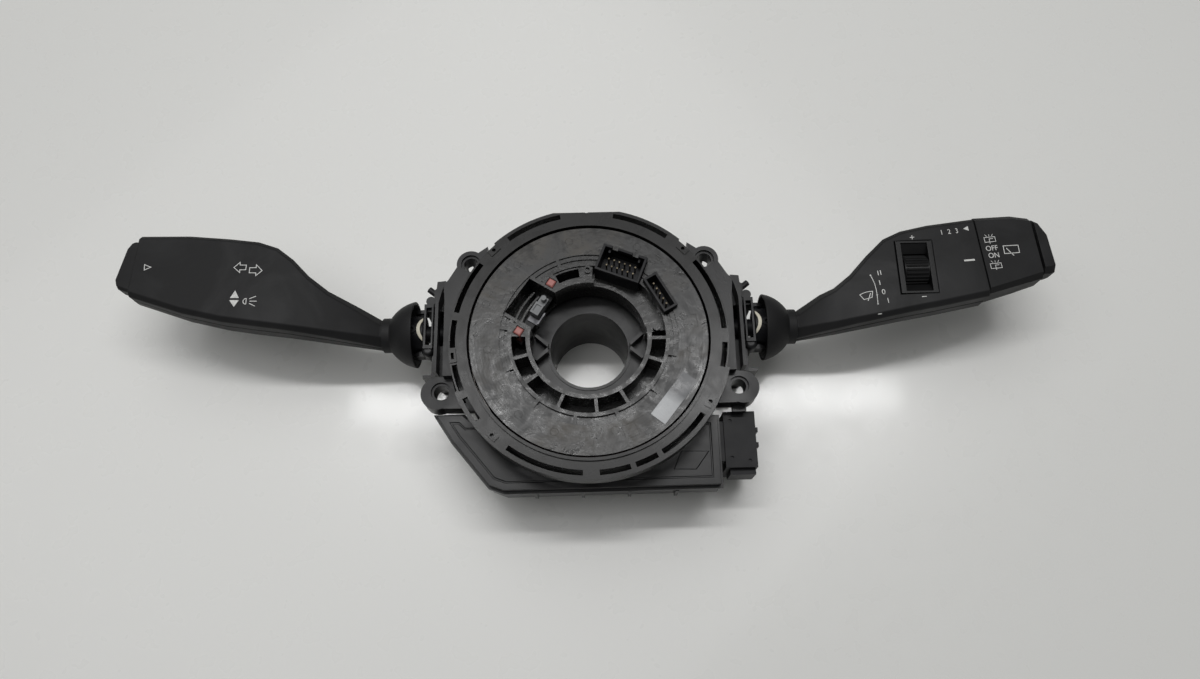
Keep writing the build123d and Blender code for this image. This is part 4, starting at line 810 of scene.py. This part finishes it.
class SWITCH_OT_thumbwheel(bpy.types.Operator):
    """Builds the ribbed thumbwheel in its window"""
    bl_idname = "switch.thumbwheel"
    bl_label = "Thumbwheel"

    def execute(self, context):
        low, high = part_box("thumbwheel")
        centre = (low + high) / 2
        width = high.x - low.x
        radius = (high.z - low.z) / 2
        rise = sizes().wheel_rib_height
        axle_low, axle_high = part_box("thumbwheel_axle")
        axle_radius = (axle_high.z - axle_low.z) / 2
        g = Graph("thumbwheel", {"Radius": ("NodeSocketFloat", 0.007), "Width": ("NodeSocketFloat", 0.01),
                                 "Ribs": ("NodeSocketInt", 26), "Rise": ("NodeSocketFloat", 0.0005),
                                 "Bore": ("NodeSocketFloat", 0.0015), "Finish": ("NodeSocketMaterial", None)})
        drum = g.cylinder(WHEEL_SIDES, g.given("Radius"), g.given("Width"))
        hole = g.cylinder(BORE_SIDES, g.given("Bore"), 2 * width)
        core = g.node("GeometryNodeMeshBoolean", {"operation": "DIFFERENCE"},
                      {"Mesh 1": drum, "Mesh 2": hole})
        spots = g.node("GeometryNodeMeshCircle", {},
                       {"Vertices": g.given("Ribs"), "Radius": g.given("Radius")})
        reach = 0.5 * width - RIB_INSET
        line = g.node("GeometryNodeCurvePrimitiveLine", {}, {"Start": (0, 0, -reach), "End": (0, 0, reach)})
        rib = g.swept(line, g.circle(RIB_SIDES, g.given("Rise")), True)
        ribs = g.stamped(spots, rib)
        both = g.node("GeometryNodeJoinGeometry", {}, {"Geometry": [core, ribs]})
        upright = g.node("GeometryNodeTransform", {}, {"Geometry": both, "Translation": centre,
                                                       "Rotation": (0, math.pi / 2, 0)})
        g.close(upright)
        obj = g.run("thumbwheel_ribbed", point_mesh([centre]),
                    {"Radius": radius - rise, "Width": width, "Ribs": sizes().wheel_ribs, "Rise": rise,
                     "Bore": axle_radius + AXLE_GAP, "Finish": finish_of("wheel_plastic")})
        belong(obj, "wheel", "wheel_plastic", "thumbwheel")
        dress("thumbwheel_axle")
        return {"FINISHED"}


class SWITCH_OT_inner_parts(bpy.types.Operator):
    """Finishes the yokes, arms, springs, boards, ramps and screws"""
    bl_idname = "switch.inner_parts"
    bl_label = "Inner parts"

    def execute(self, context):
        softened("yoke_left", YOKE_BREAK)
        softened("yoke_right", YOKE_BREAK)
        dress("stalk_arm_left", "stalk_arm_right", "plunger_left", "plunger_right", "plunger_spring_left",
              "plunger_spring_right", "button_spring_left", "button_spring_right", "button_plate_left",
              "knob_core", "detent_ramp_left", "detent_ramp_right", "contact_board_left",
              "contact_board_right", "circuit_board", "board_components", "carrier_screws",
              "guide_shell_left", "guide_shell_right")
        return {"FINISHED"}


# ---- printed marks -------------------------------------------------------
class Print:
    """Flat marks drawn in millimetres on the plan of a stalk, then laid on its skin."""

    def __init__(self, stroke):
        self.bm = bmesh.new()
        self.stroke = stroke / MM

    def fill(self, points):
        self.bm.faces.new([self.bm.verts.new((x, y, 0)) for x, y in points])

    def line(self, points, closed=False, wide=None):
        """A line of even width through the points, with mitred corners."""
        half = (wide or self.stroke) / 2
        pts = [Vector(p) for p in points]
        count = len(pts)
        left, right = [], []
        for i, p in enumerate(pts):
            before = pts[i - 1] if (closed or i > 0) else None
            after = pts[(i + 1) % count] if (closed or i < count - 1) else None
            d1 = (p - before).normalized() if before is not None else (after - p).normalized()
            d2 = (after - p).normalized() if after is not None else d1
            n1, n2 = Vector((-d1.y, d1.x)), Vector((-d2.y, d2.x))
            n = (n1 + n2).normalized()
            n *= half / max(n.dot(n1), MITRE_LIMIT)
            left.append(self.bm.verts.new((*(p + n), 0)))
            right.append(self.bm.verts.new((*(p - n), 0)))
        for i in range(count if closed else count - 1):
            j = (i + 1) % count
            self.bm.faces.new((left[i], right[i], right[j], left[j]))

    def arc(self, centre, radius, start, end, steps):
        turns = [math.radians(start + (end - start) * i / steps) for i in range(steps + 1)]
        self.line([(centre[0] + radius * math.cos(t), centre[1] + radius * math.sin(t)) for t in turns])

    def mark(self, strokes, at, turn, scale):
        """The strokes of a mark, scaled, turned and carried to their place."""
        c, s = math.cos(math.radians(turn)), math.sin(math.radians(turn))
        for points, closed, wide in strokes:
            put = [(at[0] + scale * (c * x - s * y), at[1] + scale * (s * x + c * y)) for x, y in points]
            self.line(put, closed, wide)

    def words(self, text, at, height):
        curve = bpy.data.curves.new("word", "FONT")
        curve.body = text
        curve.size = height * LETTER_FULL
        curve.align_x = "CENTER"
        curve.align_y = "CENTER"
        curve.resolution_u = 4
        obj = new_object("word", curve)
        bpy.context.view_layer.update()
        mesh = bpy.data.meshes.new_from_object(evaluated(obj)[1])
        turned = Matrix.Rotation(math.radians(LETTER_TURN), 4, "Z")
        mesh.transform(Matrix.Translation((*at, 0)) @ turned @ Matrix.Diagonal((LETTER_SQUEEZE, 1, 1, 1)))
        self.bm.from_mesh(mesh)
        bpy.data.objects.remove(obj)

    def lay(self, name, skins, body, rise):
        """Drops the marks on the skins and gives them a thin body of ink."""
        for axis in (0, 1):
            spans = [v.co[axis] for v in self.bm.verts]
            at = math.floor(min(spans)) + PRINT_FIRST_CUT
            while at < max(spans):
                where, normal = Vector(), Vector()
                where[axis] = at
                normal[axis] = 1.0
                parts = [*self.bm.verts, *self.bm.edges, *self.bm.faces]
                bmesh.ops.bisect_plane(self.bm, geom=parts, dist=PRINT_CUT_NEAR, plane_co=where,
                                       plane_no=normal)
                at += PRINT_CELL
        bmesh.ops.triangulate(self.bm, faces=self.bm.faces)
        trees = [BVHTree.FromPolygons([v.co.copy() for v in s.data.vertices],
                                      [list(p.vertices) for p in s.data.polygons]) for s in skins]
        for v in self.bm.verts:
            start = Vector((v.co.x * MM, v.co.y * MM, PRINT_DROP))
            hits = [t.ray_cast(start, Vector((0, 0, -1))) for t in trees]
            tops = [h[0].z for h in hits if h[0] is not None]
            if not tops:
                place = f"{v.co.x:.1f}, {v.co.y:.1f} mm"
                raise RuntimeError(f"{name}: a printed mark lies off its skin at {place}")
            v.co = Vector((start.x, start.y, max(tops) + rise))
        mesh = bpy.data.meshes.new(name)
        self.bm.normal_update()
        for f in self.bm.faces:
            if f.normal.z < 0:
                f.normal_flip()
        self.bm.to_mesh(mesh)
        self.bm.free()
        obj = new_object(name, mesh)
        solid = obj.modifiers.new("ink", "SOLIDIFY")
        solid.thickness = rise * INK_SHARE
        solid.offset = -1.0
        settled(obj)
        paint(obj, "print_white")
        return belong(obj, body, "stalk_skin")


class SWITCH_OT_lamp_marks(bpy.types.Operator):
    """Prints the lamp and turn-signal marks on the left stalk"""
    bl_idname = "switch.lamp_marks"
    bl_label = "Lamp marks"

    def execute(self, context):
        ink = Print(sizes().print_stroke)
        for points in LAMP_OUTLINES:
            ink.line(points, closed=True)
        for points in LAMP_ARROWS:
            ink.fill(points)
        ink.arc(LAMP_CENTRE, LAMP_RADIUS, 90, 270, LAMP_STEPS)
        for points in LAMP_LINES:
            ink.line(points)
        skin = bpy.data.objects["stalk_left_front_skin"]
        ink.lay("lamp_marks", [skin], "lever_left", sizes().print_rise)
        return {"FINISHED"}


class SWITCH_OT_wiper_marks(bpy.types.Operator):
    """Prints the wiper marks on the right stalk and its twist ring"""
    bl_idname = "switch.wiper_marks"
    bl_label = "Wiper marks"

    def execute(self, context):
        ink = Print(sizes().print_stroke)
        middle = NUMBERS_ALONG[1]
        for count, x in enumerate(NUMBERS_ALONG):
            ink.words(str(count + 1), (x, NUMBERS_ACROSS + NUMBERS_SLOPE * (x - middle)), SMALL_LETTER)
        ink.fill(WIPER_POINTER)
        for points in PLUS_AND_MINUS:
            ink.line(points)
        ink.line(RING_INDEX, wide=RING_INDEX_WIDTH)
        dx, dy = TICK_HALF
        for x, y in SPEED_TICKS:
            ink.line([(x + dx, y - dy), (x - dx, y + dy)])
        ink.words("0", ZERO_PLACE, LARGE_LETTER)
        ink.words("1", ONE_PLACE, SMALL_LETTER)
        ink.line(SPEED_SCALE, wide=SPEED_SCALE_WIDTH)
        for x, y in (SPEED_SCALE[i] for i in SPEED_STOPS):
            ink.fill([(x - DIAMOND, y), (x, y - DIAMOND), (x + DIAMOND, y), (x, y + DIAMOND)])
        ink.mark(*STALK_MARK)
        ink.line(STEM)
        skins = [bpy.data.objects[name] for name in ("stalk_right_front_skin", "wheel_bezel_skin")]
        ink.lay("wiper_marks", skins, "lever_right", sizes().print_rise)

        knob = Print(sizes().print_stroke)
        knob.words("OFF", OFF_PLACE, LARGE_LETTER)
        knob.words("ON", ON_PLACE, LARGE_LETTER)
        for mark in RING_MARKS:
            knob.mark(*mark)
        knob.lay("ring_marks", [bpy.data.objects["ring_knob_skin"]], "twist_ring", sizes().print_rise)
        return {"FINISHED"}


# ==== stage ===============================================================
class SWITCH_OT_stage(bpy.types.Operator):
    """Lays the table, hangs the lights and aims the camera"""
    bl_idname = "switch.stage"
    bl_label = "Stage"

    def execute(self, context):
        scene = context.scene
        bpy.ops.mesh.primitive_plane_add(size=TABLE_SIDE, location=(0, 0, 0))
        table = context.object
        table.name = "table"
        paint(table, "table_laminate")
        world = bpy.data.worlds.new("room")
        scene.world = world
        world.use_nodes = True
        self.backdrop(world.node_tree)
        for row in LAMPS:
            self.lamp(*row)
        self.camera(scene)
        scene.view_settings.view_transform = "Standard"
        return {"FINISHED"}

    def backdrop(self, tree):
        """Dim room light on the object, with a pale backdrop that only the camera sees."""
        fill = tree.nodes["Background"]
        fill.inputs[0].default_value = ROOM_TONE
        fill.inputs[1].default_value = sizes().room_fill
        seen = tree.nodes.new("ShaderNodeBackground")
        seen.inputs[0].default_value = BACKDROP_TONE
        path = tree.nodes.new("ShaderNodeLightPath")
        blend = tree.nodes.new("ShaderNodeMixShader")
        tree.links.new(path.outputs["Is Camera Ray"], blend.inputs[0])
        tree.links.new(fill.outputs[0], blend.inputs[1])
        tree.links.new(seen.outputs[0], blend.inputs[2])
        tree.links.new(blend.outputs[0], tree.nodes["World Output"].inputs[0])

    def lamp(self, name, at, towards, wide, deep, power):
        data = bpy.data.lights.new(name, "AREA")
        data.shape = "RECTANGLE"
        data.size = wide
        data.size_y = deep
        data.energy = power
        obj = bpy.data.objects.new(name, data)
        bpy.context.scene.collection.objects.link(obj)
        obj.location = at
        obj.rotation_euler = (Vector(towards) - Vector(at)).to_track_quat("-Z", "Y").to_euler()

    def camera(self, scene):
        data = bpy.data.cameras.new("camera")
        data.sensor_width = SENSOR_WIDTH
        data.lens = LENS
        data.clip_start = NEAREST
        data.clip_end = FARTHEST
        eye = bpy.data.objects.new("camera", data)
        scene.collection.objects.link(eye)
        tilt, roll = math.radians(CAMERA_TILT), math.radians(CAMERA_ROLL)
        forward = Vector((0, math.sin(tilt), -math.cos(tilt)))
        rise = Vector((0, math.cos(tilt), math.sin(tilt)))
        side = Vector((1, 0, 0))
        across = side * math.cos(roll) - rise * math.sin(roll)
        upward = rise * math.cos(roll) + side * math.sin(roll)
        turn = Matrix((across, upward, -forward)).transposed().to_4x4()
        eye.matrix_world = Matrix.Translation(CAMERA_PLACE) @ turn
        scene.camera = eye


PIECES = (
    SWITCH_OT_housings, SWITCH_OT_contact_unit, SWITCH_OT_ejector_marks, SWITCH_OT_lock, SWITCH_OT_stalks,
    SWITCH_OT_thumbwheel, SWITCH_OT_inner_parts, SWITCH_OT_lamp_marks, SWITCH_OT_wiper_marks,
    SWITCH_OT_stage,
)


class SWITCH_PT_panel(bpy.types.Panel):
    """Lists the pieces and their sizes and colours"""
    bl_idname = "SWITCH_PT_panel"
    bl_label = "Column switch"
    bl_space_type = "VIEW_3D"
    bl_region_type = "UI"
    bl_category = "Column Switch"

    def draw(self, context):
        for group in (context.scene.switch_sizes, context.scene.switch_colours):
            box = self.layout.box()
            for name in group.__annotations__:
                box.prop(group, name)
        for piece in PIECES:
            self.layout.operator(piece.bl_idname)


CLASSES = (SwitchSizes, SwitchColours, *PIECES, SWITCH_PT_panel)


def register():
    for cls in CLASSES:
        bpy.utils.register_class(cls)
    bpy.types.Scene.switch_sizes = bpy.props.PointerProperty(type=SwitchSizes)
    bpy.types.Scene.switch_colours = bpy.props.PointerProperty(type=SwitchColours)


def unregister():
    del bpy.types.Scene.switch_colours
    del bpy.types.Scene.switch_sizes
    for cls in reversed(CLASSES):
        bpy.utils.unregister_class(cls)


def main():
    register()
    for piece in PIECES:
        getattr(bpy.ops.switch, piece.bl_idname.split(".")[1])()


if __name__ == "__main__":
    main()
